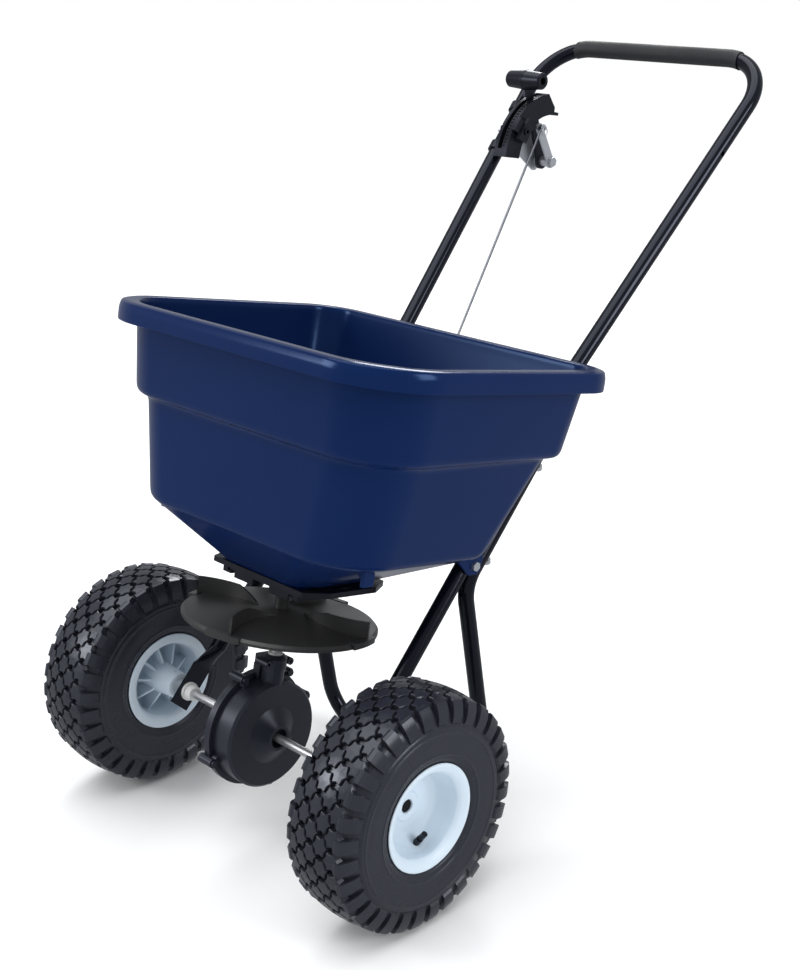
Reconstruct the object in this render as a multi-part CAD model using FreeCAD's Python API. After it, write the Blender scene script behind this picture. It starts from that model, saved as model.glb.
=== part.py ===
"""Push broadcast spreader: wheeled frame, hopper, gearbox, spinner and flow control.

Millimetres.  +X is to the machine's left wheel seen from behind the hopper's front,
-Y is the direction of travel, +Z is up.  Parts are drawn about the point on the ground
under the axle and moved so that the origin is the middle of the footprint box.
"""
import FreeCAD, Part
import math
import os

from FreeCAD import Placement, Rotation, Vector

os.makedirs("parts", exist_ok=True)

# ---------------------------------------------------------------- driving dimensions
TYRE_R = 133.0              # outer radius of a 4.10/3.50-4 tyre
TYRE_HALF_W = 45.0          # half the tyre's section width
TREAD_HALF_W = 35.0
TREAD_DROP = 4.0            # crown to shoulder
TYRE_WALL = 7.0
BEAD_SEAT_R = 50.8          # 4 inch rim
FLANGE_R = 61.5
RIM_HALF_W = 42.9
RIM_WALL = 5.0
WHEEL_X = 223.6             # wheel mid-plane from the centre line
HUB_R = 17.0
HUB_FACE = 8.5              # hub's outer face from the wheel's mid-plane
HUB_INNER = 61.6            # hub's inner end from the wheel's mid-plane
RIB_COUNT = 9

AXLE_R = 5.0
RUN = 0.05                  # radial running clearance of a shaft in its bore
SEAT = 0.3                  # clearance between curved faces that only lie close
TUBE_R = 9.5
TUBE_WALL = 1.5
FRAME_X = 138.0             # frame, stand and handle tubes from the centre line
FRAME_SLOPE = 46.6          # degrees from level
HANDLE_SLOPE = 45.75
HANDLE_SPLAY = 4.65
KNEE_S = 505.0              # axle to the handle's small bend, along the frame tube
HANDLE_RUN = 496.0          # small bend to the cross bar's corner
HANDLE_BEND_R = 65.0
KNEE_BEND_R = 180.0
JOINT_S = 450.0             # axle to the handle tube's lower end
JOINT_LAP = 45.0
STAND_CORNER_S = 250.6      # axle to the stand's bend, along the frame tube
STAND_TOP_S = 440.0
STAND_LEAN = 9.76           # stand leg from plumb
STAND_BEND_R = 45.0
STAND_FOOT_R = 58.0
GRIP_HALF = 128.0
GRIP_R = 11.0
BOLT_R = 3.0
FRAME_BOLT_S = (290.5, 418.0)

TILT = 11.3                 # hopper and gearbox lean back while the stand is down
HOPPER_WALL = 3.5
LIP_TOP = 468.5
LIP_LOW = 445.4
STEP_TOP = 366.0
STEP_LOW = 363.0
EDGE_Z = 250.0
FLOOR_Z = 195.0
# half width front, half width rear, front y, rear y, corner radius front, rear
LIP_PLAN = (243.0, 241.0, -134.0, 250.0, 90.0, 58.0)
WALL_PLAN = (228.0, 221.3, -116.0, 230.5, 80.0, 40.0)
STEP_PLAN = (223.0, 209.4, -108.0, 216.0, 77.0, 38.0)
LOWER_PLAN = (210.5, 191.5, -98.0, 207.0, 72.0, 34.0)
EDGE_PLAN = (187.0, 181.8, -95.0, 141.0, 70.0, 34.0)
FLOOR_PLAN = (70.0, 70.0, -42.0, 76.0, 25.0, 25.0)
LUG_T = 5.0
LUG_FRONT = (172.0, -52.0, 21.0)    # x, y and depth of the front feet
LUG_BOLT_Z = 230.0

SHAFT_R = 4.0
GEARBOX_R = 64.0
GEARBOX_FLANGE_R = 70.0
GEARBOX_WALL = 3.0
GEARBOX_NEAR = 12.5
GEARBOX_SPLIT = -20.0
GEARBOX_FAR = -34.0
CONE_BASE_R = 34.0
CONE_TIP_R = 15.0
CONE_TIP_X = 25.0
NECK_R = SHAFT_R + 9.0
NECK_FROM = 60.0
NECK_TOP = 80.0
CAP_H = 15.0
BOSS_ANGLES = (25.0, 62.0, 118.0, 205.0, 290.0)
BOSS_RING_R = 73.0
RING_TEETH = 48
PINION_TEETH = 9
MESH_R = 48.0               # pitch radius of the ring gear
PINION_R = 9.0
TOOTH_H = 2.4
TOOTH_W = 2.0
GEAR_PIN_X = -24.5

SPINNER_R = 113.0
SPINNER_EDGE = 141.0
SPINNER_RISE = 10.0
SPINNER_SKIRT = 6.0
SPINNER_T = 3.0
SPINNER_HUB_R = 8.5
SPINNER_HUB_TOP = 177.0
FIN_COUNT = 4
FIN_H = 20.0
FIN_IN_R = 27.0
FIN_TURN = 20.0              # first fin's outer end
FIN_BOW = 12.0               # how far a fin bows from the straight
FIN_BLOCK_R = SPINNER_R + 3.0
HUB_PIN_Z = 167.0

PLATE_TOP = FLOOR_Z - SEAT
PLATE_T = 6.0
PLATE_HALF_X = 90.0
PLATE_FRONT = -44.0
PLATE_REAR = 86.0
GATE_T = 5.0
GATE_GAP = 0.4
GATE_HALF_X = 56.0
GATE_TRAVEL = 20.4
OUTLET = (18.0, 18.0)       # width along x, length along y of one outlet
OUTLET_X = (-30.0, 0.0, 30.0)
OUTLET_Y = 38.0

QUAD_S = 354.0              # small bend to the control's centre, along the handle
PIVOT_N = -64.0             # lever pivot behind the handle tube
PIVOT_R = 4.0
QUAD_IN_R = 62.0
QUAD_OUT_R = 90.0
QUAD_FROM = 36.0            # degrees about the pivot, from up the handle
QUAD_TO = 125.0
SLOT_FROM = 48.0
SLOT_TO = 118.0
SLOT_W = 7.0
LEVER_T = 4.0
LEVER_ANGLE = 62.0
LEVER_SWING = 48.0
LEVER_LEN = 115.0
PIN_R = 54.0                # rod pin from the lever pivot
PIN_ANGLE = 72.0
GRIP_LEN = 58.0
KNOB_R = 13.3
STOP_AT = 96.0
ROD_R = 1.6
ROD_PIN_R = 2.0
ROD_EYE_T = 4.8
RING_R = 5.0

CRANK_Y = 104.0             # crank pivot, hopper frame
CRANK_Z = 205.0
CRANK_X = -42.0
CRANK_UP = 70.0             # arm to the control rod
CRANK_DOWN = 32.0           # arm to the gate
CRANK_T = 3.0
CRANK_EXTRA = 1.02         # crank turns this much more than equal chords would
SLOT_HALF = 2.7             # half the width of the crank's slot for the rod
SLOT_RUN = 8.2              # how far the rod slides along it

# ---------------------------------------------------------------- worked-out values
AXLE_Z = TYRE_R
SIN_F = math.sin(math.radians(FRAME_SLOPE))
COS_F = math.cos(math.radians(FRAME_SLOPE))
SIN_H = math.sin(math.radians(HANDLE_SLOPE))
COS_H = math.cos(math.radians(HANDLE_SLOPE))
PITCH = 2.0 * TUBE_R + SEAT


def on_frame(s, behind=0.0, x=FRAME_X):
    """Point on the frame tube's line, s from the axle and a distance behind the line."""
    y = s * COS_F + behind * SIN_F
    z = AXLE_Z + s * SIN_F - behind * COS_F
    return Vector(x, y, z)


KNEE = on_frame(KNEE_S)
CORNER_X = FRAME_X + HANDLE_RUN * math.tan(math.radians(HANDLE_SPLAY))
BAR_Y = KNEE.y + HANDLE_RUN * COS_H
BAR_Z = KNEE.z + HANDLE_RUN * SIN_H
SHIFT_Y = -(BAR_Y + GRIP_R - TYRE_R) / 2.0
HOPPER = Placement(Vector(0, 0, AXLE_Z), Rotation(Vector(1, 0, 0), -TILT))
HANDLE_FRAME = Placement(KNEE - Vector(FRAME_X, 0, 0), Rotation(Vector(1, 0, 0), HANDLE_SLOPE))
QUAD_TUBE_X = -(FRAME_X + QUAD_S * math.tan(math.radians(HANDLE_SPLAY)))
BRACKET_X = QUAD_TUBE_X + TUBE_R + 0.2
BRACKET_T = 2.5
QUAD_X0 = BRACKET_X + BRACKET_T
QUAD_X1 = QUAD_X0 + 21.5
SLOT_X = QUAD_X0 + 5.0
LEVER_X = SLOT_X + (SLOT_W - LEVER_T) / 2.0
LINK_X = QUAD_X1 + 2.0
LINK_T = 2.5
ROD_X = LINK_X + LINK_T + 0.3 + ROD_EYE_T / 2.0
MID_SWING = math.radians(LEVER_SWING / 2.0)
CRANK_SWING = CRANK_EXTRA * 2.0 * math.degrees(math.asin(PIN_R * math.sin(MID_SWING) / CRANK_UP))
CRANK_MID = HANDLE_SLOPE + PIN_ANGLE + LEVER_SWING / 2.0 + TILT - 180.0


# ---------------------------------------------------------------- helpers
def save(name, *shapes):
    """Write one node, moved to the footprint's middle."""
    shape = shapes[0] if len(shapes) == 1 else Part.makeCompound(list(shapes))
    moved = shape.copy()
    moved.translate(Vector(0, SHIFT_Y, 0))
    moved.exportStep("parts/" + name + ".step")


def placed(shape, place):
    """Copy of a shape drawn in a local frame, put into the machine's frame."""
    copy = shape.copy()
    copy.Placement = place.multiply(copy.Placement)
    return copy


def cylinder(radius, start, end):
    """Round bar between two points."""
    axis = end - start
    return Part.makeCylinder(radius, axis.Length, start, axis)


def box(x0, x1, y0, y1, z0, z1):
    """Box from its limits."""
    return Part.makeBox(x1 - x0, y1 - y0, z1 - z0, Vector(x0, y0, z0))


def revolve_x(points, x_axis_z=0.0):
    """Turn a closed profile of (x, radius) points about the line y = 0, z = x_axis_z."""
    corners = [Vector(x, 0, r + x_axis_z) for x, r in points]
    wire = Part.makePolygon(corners + corners[:1])
    return Part.Face(wire).revolve(Vector(0, 0, x_axis_z), Vector(1, 0, 0), 360)


def revolve_z(points):
    """Turn a closed profile of (radius, z) points about the z axis."""
    corners = [Vector(r, 0, z) for r, z in points]
    wire = Part.makePolygon(corners + corners[:1])
    return Part.Face(wire).revolve(Vector(), Vector(0, 0, 1), 360)


def rounded_wire(corners, radii):
    """Closed wire through the corners, each rounded by its own radius."""
    edges = []
    count = len(corners)
    starts = []
    ends = []
    mids = []
    for i, corner in enumerate(corners):
        back = (corners[i - 1] - corner).normalize()
        ahead = (corners[(i + 1) % count] - corner).normalize()
        half = back.getAngle(ahead) / 2.0
        cut = radii[i] / math.tan(half)
        middle = (back + ahead).normalize()
        centre = corner + middle * (radii[i] / math.sin(half))
        starts.append(corner + back * cut)
        ends.append(corner + ahead * cut)
        mids.append(centre - middle * radii[i])
    for i in range(count):
        if radii[i] > 0:
            edges.append(Part.Arc(starts[i], mids[i], ends[i]).toShape())
        edges.append(Part.LineSegment(ends[i], starts[(i + 1) % count]).toShape())
    return Part.Wire(edges)


def plan_wire(plan, z, inset=0.0):
    """Hopper outline at one height: a trapezium with rounded corners, inset all round."""
    front, rear, y_front, y_rear, r_front, r_rear = plan
    corners = [Vector(-front + inset, y_front + inset, z), Vector(front - inset, y_front + inset, z),
               Vector(rear - inset, y_rear - inset, z), Vector(-rear + inset, y_rear - inset, z)]
    radii = [r_front - inset, r_front - inset, r_rear - inset, r_rear - inset]
    return rounded_wire(corners, radii)


def loft(*wires):
    """Ruled solid through the outlines."""
    return Part.makeLoft(list(wires), True, True)


def tube_path(points, radii):
    """Open wire of straight runs joined by tangent arcs at the inner points."""
    edges = []
    last = points[0]
    for i in range(1, len(points) - 1):
        back = (points[i - 1] - points[i]).normalize()
        ahead = (points[i + 1] - points[i]).normalize()
        half = back.getAngle(ahead) / 2.0
        radius = radii[i - 1]
        cut = radius / math.tan(half)
        middle = (back + ahead).normalize()
        centre = points[i] + middle * (radius / math.sin(half))
        start = points[i] + back * cut
        end = points[i] + ahead * cut
        edges.append(Part.LineSegment(last, start).toShape())
        edges.append(Part.Arc(start, centre - middle * radius, end).toShape())
        last = end
    edges.append(Part.LineSegment(last, points[-1]).toShape())
    return Part.Wire(edges)


def tube(path, radius, wall):
    """Hollow round tube along a path."""
    start = path.Edges[0].firstVertex().Point
    ahead = path.Edges[0].tangentAt(path.Edges[0].FirstParameter)
    rings = []
    for r in (radius, radius - wall):
        ring = Part.Wire(Part.makeCircle(r, start, ahead))
        rings.append(path.makePipeShell([ring], True, False, 1))
    return rings[0].cut(rings[1])


def flat_plate(corners, radii, thickness, direction):
    """Plate from a rounded outline, thickened along a direction."""
    return Part.Face(rounded_wire(corners, radii)).extrude(direction * thickness)


def arc_band(r_in, r_out, start_deg, end_deg, x0, x1, centre):
    """Sector of a ring about an axis along x; angles from local y towards local z."""
    wires = []
    points = []
    for r, a in ((r_in, start_deg), (r_out, start_deg), (r_out, end_deg), (r_in, end_deg)):
        points.append(polar(r, a, x0, centre))
    outer_mid = polar(r_out, (start_deg + end_deg) / 2.0, x0, centre)
    inner_mid = polar(r_in, (start_deg + end_deg) / 2.0, x0, centre)
    wires.append(Part.LineSegment(points[0], points[1]).toShape())
    wires.append(Part.Arc(points[1], outer_mid, points[2]).toShape())
    wires.append(Part.LineSegment(points[2], points[3]).toShape())
    wires.append(Part.Arc(points[3], inner_mid, points[0]).toShape())
    return Part.Face(Part.Wire(wires)).extrude(Vector(x1 - x0, 0, 0))


def polar(r, degrees, x, centre):
    """Point at a radius and angle about a centre in the y-z plane."""
    a = math.radians(degrees)
    return Vector(x, centre.y + r * math.cos(a), centre.z + r * math.sin(a))


def hex_bar(across, start, end):
    """Hexagonal bar between two points: a bolt head or a nut."""
    axis = end - start
    corners = []
    for i in range(7):
        a = math.radians(60.0 * i)
        corners.append(Vector(across / 1.7320508 * math.cos(a), across / 1.7320508 * math.sin(a), 0))
    prism = Part.Face(Part.makePolygon(corners)).extrude(Vector(0, 0, axis.Length))
    prism.Placement = Placement(start, Rotation(Vector(0, 0, 1), axis))
    return prism


def bolt(start, end, head=4.0, across=10.0, radius=BOLT_R):
    """Hex bolt with its head's seat at start and its tip at end."""
    axis = (end - start).normalize()
    return cylinder(radius, start, end).fuse(hex_bar(across, start - axis * head, start))


def nut(at, axis, height=5.0, across=10.0, radius=BOLT_R):
    """Hex nut seated at a point, with its bore clear of the bolt."""
    end = at + axis * height
    return hex_bar(across, at, end).cut(cylinder(radius + RUN, at - axis, end + axis))


def both(shape):
    """A shape and its mirror image across the centre plane."""
    return [shape, shape.mirror(Vector(), Vector(1, 0, 0))]


# ---------------------------------------------------------------- frame
def frame_bolt_line(s):
    """Ends of the bolt through the stand tube, the frame tube and the hopper's wall."""
    return on_frame(s, PITCH + TUBE_R + 9.0), on_frame(s, -TUBE_R - 8.0)


def frame_tube():
    """Lower tube with its flattened axle plate and its reduced upper end."""
    lower = 62.0
    flat_t = 2.0 * TUBE_WALL + 0.6
    outer_x = FRAME_X + TUBE_R
    straight = tube(tube_path([on_frame(lower), on_frame(JOINT_S - 2.0)], []), TUBE_R, TUBE_WALL)
    inner_r = TUBE_R - TUBE_WALL - 0.1
    spigot = tube(tube_path([on_frame(JOINT_S - 2.0), on_frame(JOINT_S + JOINT_LAP)], []),
                  inner_r, TUBE_WALL)
    collar = tube(tube_path([on_frame(JOINT_S - 5.0), on_frame(JOINT_S - 1.0)], []), TUBE_R, 4.0)
    slope = Rotation(Vector(1, 0, 0), FRAME_SLOPE)
    flat = box(outer_x - flat_t, outer_x, -22.0, 34.0, -14.0, 14.0)
    flat = placed(flat, Placement(Vector(0, 0, AXLE_Z), slope))
    ring = Part.Wire(Part.makeCircle(TUBE_R, on_frame(lower), on_frame(1.0) - on_frame(0.0)))
    end_corners = [Vector(outer_x - flat_t, 33.0, -14.0), Vector(outer_x, 33.0, -14.0),
                   Vector(outer_x, 33.0, 14.0), Vector(outer_x - flat_t, 33.0, 14.0)]
    end = rounded_wire(end_corners, [1.5] * 4)
    end.Placement = Placement(Vector(0, 0, AXLE_Z), slope)
    bell = Part.makeLoft([end, ring], True, True)
    shape = straight.fuse([spigot, collar, flat, bell])
    hole = cylinder(AXLE_R + 3.0 + RUN, Vector(outer_x - 20, 0, AXLE_Z), Vector(outer_x + 9, 0, AXLE_Z))
    shape = shape.cut(hole)
    for s in FRAME_BOLT_S:
        shape = shape.cut(cylinder(BOLT_R + 0.2, *frame_bolt_line(s)))
    shape = shape.cut(cylinder(BOLT_R + 0.2, *lug_bolt_line()))
    return shape.cut(cylinder(BOLT_R + 0.2, *joint_bolt_line()))


def joint_bolt_line():
    """Ends of the cross bolt that holds the handle tube on the frame tube."""
    centre = on_frame(JOINT_S + JOINT_LAP / 2.0)
    return centre + Vector(TUBE_R + 0.3, 0, 0), centre - Vector(TUBE_R + 9.0, 0, 0)


def stand_tube():
    """U-shaped stand: upper ends behind the frame tubes, foot bar on the ground."""
    lean = math.radians(STAND_LEAN)
    corner = on_frame(STAND_CORNER_S, PITCH)
    foot_z = TUBE_R
    foot_y = corner.y + (corner.z - foot_z) * math.tan(lean)
    points = [on_frame(STAND_TOP_S, PITCH), corner, Vector(FRAME_X, foot_y, foot_z),
              Vector(-FRAME_X, foot_y, foot_z), Vector(-FRAME_X, corner.y, corner.z),
              on_frame(STAND_TOP_S, PITCH, -FRAME_X)]
    radii = [STAND_BEND_R, STAND_FOOT_R, STAND_FOOT_R, STAND_BEND_R]
    shape = tube(tube_path(points, radii), TUBE_R, TUBE_WALL)
    for s in FRAME_BOLT_S:
        for drill in both(cylinder(BOLT_R + 0.2, *frame_bolt_line(s))):
            shape = shape.cut(drill)
    return shape


def handle_path():
    """Centre line of the handle tube."""
    points = [on_frame(JOINT_S), KNEE, Vector(CORNER_X, BAR_Y, BAR_Z),
              Vector(-CORNER_X, BAR_Y, BAR_Z), Vector(-KNEE.x, KNEE.y, KNEE.z),
              on_frame(JOINT_S, 0.0, -FRAME_X)]
    return tube_path(points, [KNEE_BEND_R, HANDLE_BEND_R, HANDLE_BEND_R, KNEE_BEND_R])


def handle_tube():
    """U-shaped handle that slides over the frame tubes' reduced ends."""
    shape = tube(handle_path(), TUBE_R, TUBE_WALL)
    for drill in both(cylinder(BOLT_R + 0.2, *joint_bolt_line())):
        shape = shape.cut(drill)
    x = QUAD_TUBE_X
    used = cylinder(BOLT_R + 0.2, Vector(x - 12, QUAD_S, 0), Vector(x + 12, QUAD_S, 0))
    splay = math.radians(HANDLE_SPLAY)
    across = Vector(12.0 * math.cos(splay), -12.0 * math.sin(splay), 0)
    spare_at = Vector(-x, QUAD_S, 0)
    spare = cylinder(BOLT_R + 0.2, spare_at - across, spare_at + across)
    return shape.cut([placed(used, HANDLE_FRAME), placed(spare, HANDLE_FRAME)])


def grip_sleeve():
    """Sleeve on the handle's cross bar, following the start of both bends."""
    sleeve = tube(handle_path(), GRIP_R, GRIP_R - TUBE_R - SEAT)
    return sleeve.common(box(-GRIP_HALF, GRIP_HALF, BAR_Y - 60, BAR_Y + 20, BAR_Z - 60, BAR_Z + 20))


def frame_bolts():
    """Bolts and nuts: the lower pair through stand and frame, the upper also through the hopper."""
    bolts = []
    nuts = []
    upper = FRAME_BOLT_S[1]
    for s, start in ((FRAME_BOLT_S[0], TUBE_R + 0.2), (upper, TUBE_R + hopper_gap(upper))):
        tip, _ = frame_bolt_line(s)
        inside = on_frame(s, -start)
        axis = (tip - inside).normalize()
        bolts.extend(both(bolt(inside, tip, 3.0)))
        nuts.extend(both(nut(on_frame(s, PITCH + TUBE_R + 0.1), axis)))
    return bolts, nuts


def hopper_gap(s):
    """Frame tube's front to the inner face of the hopper's rear wall, along a bolt."""
    at = placed(Part.Vertex(on_frame(s, -TUBE_R)), HOPPER.inverse()).Point
    rise = (at.z - EDGE_Z) / (STEP_LOW - EDGE_Z)
    wall_y = EDGE_PLAN[3] + rise * (LOWER_PLAN[3] - EDGE_PLAN[3]) - HOPPER_WALL
    lean = math.atan2(LOWER_PLAN[3] - EDGE_PLAN[3], STEP_LOW - EDGE_Z)
    return (at.y - wall_y) * math.cos(lean) + 0.4


def joint_bolts():
    """Cross bolts and nuts at the handle joint."""
    start, end = joint_bolt_line()
    axis = (end - start).normalize()
    at = start + axis * (2.0 * TUBE_R + 0.5)
    return both(bolt(start, end)), both(nut(at, axis))


def axle_bushings():
    """Flanged nylon bushings in the axle plates."""
    outer = FRAME_X + TUBE_R
    inner = outer - 2.0 * TUBE_WALL - 0.6
    profile = [(inner - 13.0, AXLE_R + RUN), (inner - 13.0, 9.0), (inner - 3.5, 9.0),
               (inner - 3.5, 11.5), (inner - 0.05, 11.5), (inner - 0.05, AXLE_R + 3.0),
               (outer + 2.0, AXLE_R + 3.0), (outer + 2.0, AXLE_R + RUN)]
    return both(revolve_x(profile, AXLE_Z))


# ---------------------------------------------------------------- hopper
def hopper_cavity():
    """Space inside the hopper, from the floor up to above the lip."""
    wall = HOPPER_WALL
    funnel = loft(plan_wire(FLOOR_PLAN, FLOOR_Z + wall, wall), plan_wire(EDGE_PLAN, EDGE_Z + 2.0, wall))
    lower = loft(plan_wire(EDGE_PLAN, EDGE_Z + 2.0, wall), plan_wire(LOWER_PLAN, STEP_LOW, wall))
    step = loft(plan_wire(LOWER_PLAN, STEP_LOW, wall), plan_wire(STEP_PLAN, STEP_TOP + wall, wall))
    upper = loft(plan_wire(STEP_PLAN, STEP_TOP + wall, wall), plan_wire(WALL_PLAN, LIP_TOP + 1.0, wall))
    return funnel.fuse([lower, step, upper])


def hopper():
    """Moulded hopper with its rolled lip, step, funnel, feet and outlets."""
    wall = HOPPER_WALL
    funnel = loft(plan_wire(FLOOR_PLAN, FLOOR_Z), plan_wire(EDGE_PLAN, EDGE_Z))
    lower = loft(plan_wire(EDGE_PLAN, EDGE_Z), plan_wire(LOWER_PLAN, STEP_LOW))
    step = loft(plan_wire(LOWER_PLAN, STEP_LOW), plan_wire(STEP_PLAN, STEP_TOP))
    upper = loft(plan_wire(STEP_PLAN, STEP_TOP), plan_wire(WALL_PLAN, LIP_TOP - 1.0))
    lip = loft(plan_wire(LIP_PLAN, LIP_LOW), plan_wire(LIP_PLAN, LIP_TOP - 8.0, 0.5),
               plan_wire(LIP_PLAN, LIP_TOP - 3.0, 2.5), plan_wire(LIP_PLAN, LIP_TOP, 7.0))
    under = loft(plan_wire(LIP_PLAN, LIP_LOW - 1.0, wall), plan_wire(LIP_PLAN, LIP_TOP - 9.0, wall + 0.5),
                 plan_wire(LIP_PLAN, LIP_TOP - wall, wall + 6.0))
    under = under.cut(loft(plan_wire(WALL_PLAN, LIP_LOW - 2.0, 0.5), plan_wire(WALL_PLAN, LIP_TOP, 0.5)))
    shape = funnel.fuse([lower, step, upper, lip.cut(under)])
    shape = shape.fuse(front_feet() + rear_lugs())
    upper = FRAME_BOLT_S[1]
    back = hopper_gap(upper)
    for boss in both(cylinder(8.0, on_frame(upper, -TUBE_R - back + 1.0), on_frame(upper, 0.0))):
        shape = shape.fuse(placed(boss, HOPPER.inverse()))
    shape = shape.cut(hopper_cavity())
    for x in OUTLET_X:
        shape = shape.cut(outlet_hole(x, FLOOR_Z - 1.0, FLOOR_Z + wall + 1.0))
    shape = shape.cut(Part.makeCylinder(SHAFT_R + 2.0, 2.0 * wall, Vector(0, 0, FLOOR_Z - wall)))
    shape = placed(shape, HOPPER)
    for drill in both(cylinder(BOLT_R + 0.2, on_frame(upper, -TUBE_R - back - 6.0), on_frame(upper, 0.0))):
        shape = shape.cut(drill)
    for drill in both(cylinder(BOLT_R + 0.2, *lug_bolt_line())):
        shape = shape.cut(drill)
    for drill in both(cylinder(TUBE_R + SEAT, on_frame(150.0), on_frame(STAND_TOP_S))):
        shape = shape.cut(drill)
    return shape


def outlet_hole(x, z0, z1):
    """One outlet through the floor, the outlet plate or the gate."""
    width, length = OUTLET
    return box(x - width / 2, x + width / 2, OUTLET_Y - length / 2, OUTLET_Y + length / 2, z0, z1)


def front_feet():
    """Short posts under the hopper's front corners, each with a gusset."""
    x, y, depth = LUG_FRONT
    post = box(x - LUG_T, x, y, y + 16.0, EDGE_Z - depth, EDGE_Z + 4.0)
    gusset = Part.Face(Part.makePolygon([
        Vector(x - 30.0, y + 5.0, EDGE_Z + 4.0), Vector(x - LUG_T, y + 5.0, EDGE_Z - depth),
        Vector(x - LUG_T, y + 5.0, EDGE_Z + 4.0), Vector(x - 30.0, y + 5.0, EDGE_Z + 4.0)]))
    return both(post.fuse(gusset.extrude(Vector(0, 4.0, 0))))


def rear_lugs():
    """Lugs beside the frame tubes, bolted to them through the side."""
    x = FRAME_X + TUBE_R + SEAT
    outline = [Vector(x, 110.0, EDGE_Z + 8.0), Vector(x, 144.0, EDGE_Z + 8.0),
               Vector(x, 158.0, EDGE_Z - 10.0), Vector(x, 154.0, EDGE_Z - 31.0),
               Vector(x, 137.0, EDGE_Z - 31.0), Vector(x, 114.0, EDGE_Z - 12.0)]
    plate = flat_plate(outline, [0.0, 0.0, 6.0, 5.0, 6.0, 6.0], LUG_T, Vector(1, 0, 0))
    rib = box(x, x + 14.0, 128.0, 132.0, EDGE_Z - 14.0, EDGE_Z + 4.0)
    return both(plate.fuse(rib))


def lug_bolt_line():
    """Ends of the side bolt through a rear lug and its frame tube."""
    centre = placed(Part.Vertex(Vector(FRAME_X, 144.2, LUG_BOLT_Z)), HOPPER).Point
    s = (centre.y * COS_F + (centre.z - AXLE_Z) * SIN_F)
    centre = on_frame(s)
    reach = TUBE_R + SEAT + LUG_T
    return centre + Vector(reach + 0.1, 0, 0), centre - Vector(TUBE_R + 8.0, 0, 0)


def lug_bolts():
    """Side bolts and nuts at the rear lugs."""
    start, end = lug_bolt_line()
    axis = (end - start).normalize()
    at = on_frame((start.y * COS_F + (start.z - AXLE_Z) * SIN_F)) + axis * (TUBE_R + 0.1)
    return both(bolt(start, end)), both(nut(at, axis))


# ---------------------------------------------------------------- outlet plate and gate
def outlet_plate():
    """Black plate under the floor with the three outlets and the gate's rails."""
    z1 = PLATE_TOP
    z0 = z1 - PLATE_T
    outline = [Vector(-PLATE_HALF_X + 14, PLATE_FRONT, z0), Vector(PLATE_HALF_X - 14, PLATE_FRONT, z0),
               Vector(PLATE_HALF_X, PLATE_FRONT + 30, z0), Vector(PLATE_HALF_X, PLATE_REAR - 30, z0),
               Vector(PLATE_HALF_X - 18, PLATE_REAR, z0), Vector(-PLATE_HALF_X + 18, PLATE_REAR, z0),
               Vector(-PLATE_HALF_X, PLATE_REAR - 30, z0), Vector(-PLATE_HALF_X, PLATE_FRONT + 30, z0)]
    plate = flat_plate(outline, [3.0] * 8, PLATE_T, Vector(0, 0, 1))
    rail_z = z0 - GATE_GAP - GATE_T - GATE_GAP
    for side in (-1, 1):
        x0 = side * (GATE_HALF_X + GATE_GAP)
        x1 = side * (GATE_HALF_X + 8.0)
        wall = box(min(x0, x1), max(x0, x1), PLATE_FRONT + 6, PLATE_REAR - 8, rail_z - 3.0, z0 + 0.5)
        x2 = side * (GATE_HALF_X - 6.0)
        lip = box(min(x2, x1), max(x2, x1), PLATE_FRONT + 6, PLATE_REAR - 8, rail_z - 3.0, rail_z)
        plate = plate.fuse([wall, lip])
    for x in OUTLET_X:
        plate = plate.cut(outlet_hole(x, z0 - 1.0, z1 + 1.0))
    for side in (-1, 1):
        slot = box(side * 80.0 - 3.0, side * 80.0 + 3.0, 12.0, 30.0, z0 - 1.0, z1 + 1.0)
        plate = plate.cut(slot)
    plate = plate.cut(Part.makeCylinder(SHAFT_R + 0.5, 30.0, Vector(0, 0, z0 - 15.0)))
    return placed(plate, HOPPER)


def gate_plate():
    """Sliding shutter with three openings, a shaft slot, ribs and a rear fork."""
    z1 = PLATE_TOP - PLATE_T - GATE_GAP
    z0 = z1 - GATE_T
    front = PLATE_FRONT + 8.0
    rear = OUTLET_Y + OUTLET[1] / 2.0 + GATE_TRAVEL + 12.0
    plate = box(-GATE_HALF_X, GATE_HALF_X, front, rear, z0, z1)
    for x in (-38.0, -20.0, 20.0, 38.0):
        plate = plate.fuse(box(x - 1.5, x + 1.5, front, front + 34.0, z0 - 5.5, z0))
    plate = plate.fuse(box(-46.0, -14.0, front, front + 3.0, z0 - 7.0, z0))
    plate = plate.fuse(box(14.0, 46.0, front, front + 3.0, z0 - 7.0, z0))
    slot = box(-SHAFT_R - 2.0, SHAFT_R + 2.0, -SHAFT_R - 2.0, GATE_TRAVEL + SHAFT_R + 2.0, z0 - 9, z1 + 1)
    plate = plate.cut(slot)
    for x in OUTLET_X:
        hole = outlet_hole(x, z0 - 1.0, z1 + 1.0)
        hole.translate(Vector(0, GATE_TRAVEL, 0))
        plate = plate.cut(hole)
    fork_y = CRANK_Y + CRANK_DOWN * math.sin(math.radians(CRANK_SWING / 2.0))
    fork_x = CRANK_X - CRANK_T / 2.0 - 0.4
    arm = box(fork_x - 3.0, fork_x, rear - 4.0, fork_y + 6.0, z0, z1)
    fork = box(fork_x - 3.0, fork_x, fork_y - 6.5, fork_y + 6.5, z0 - 15.0, z1)
    plate = plate.fuse([arm, fork])
    groove = box(CRANK_X - 7, CRANK_X, fork_y - 2.6, fork_y + 2.6, z0 - 13.0, z1 - 3.0)
    return placed(plate.cut(groove), HOPPER)


def crank_point(arm, degrees):
    """Point on the crank in the hopper's frame; degrees from the hopper's +y."""
    a = math.radians(degrees)
    return Vector(CRANK_X, CRANK_Y + arm * math.cos(a), CRANK_Z + arm * math.sin(a))


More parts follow.
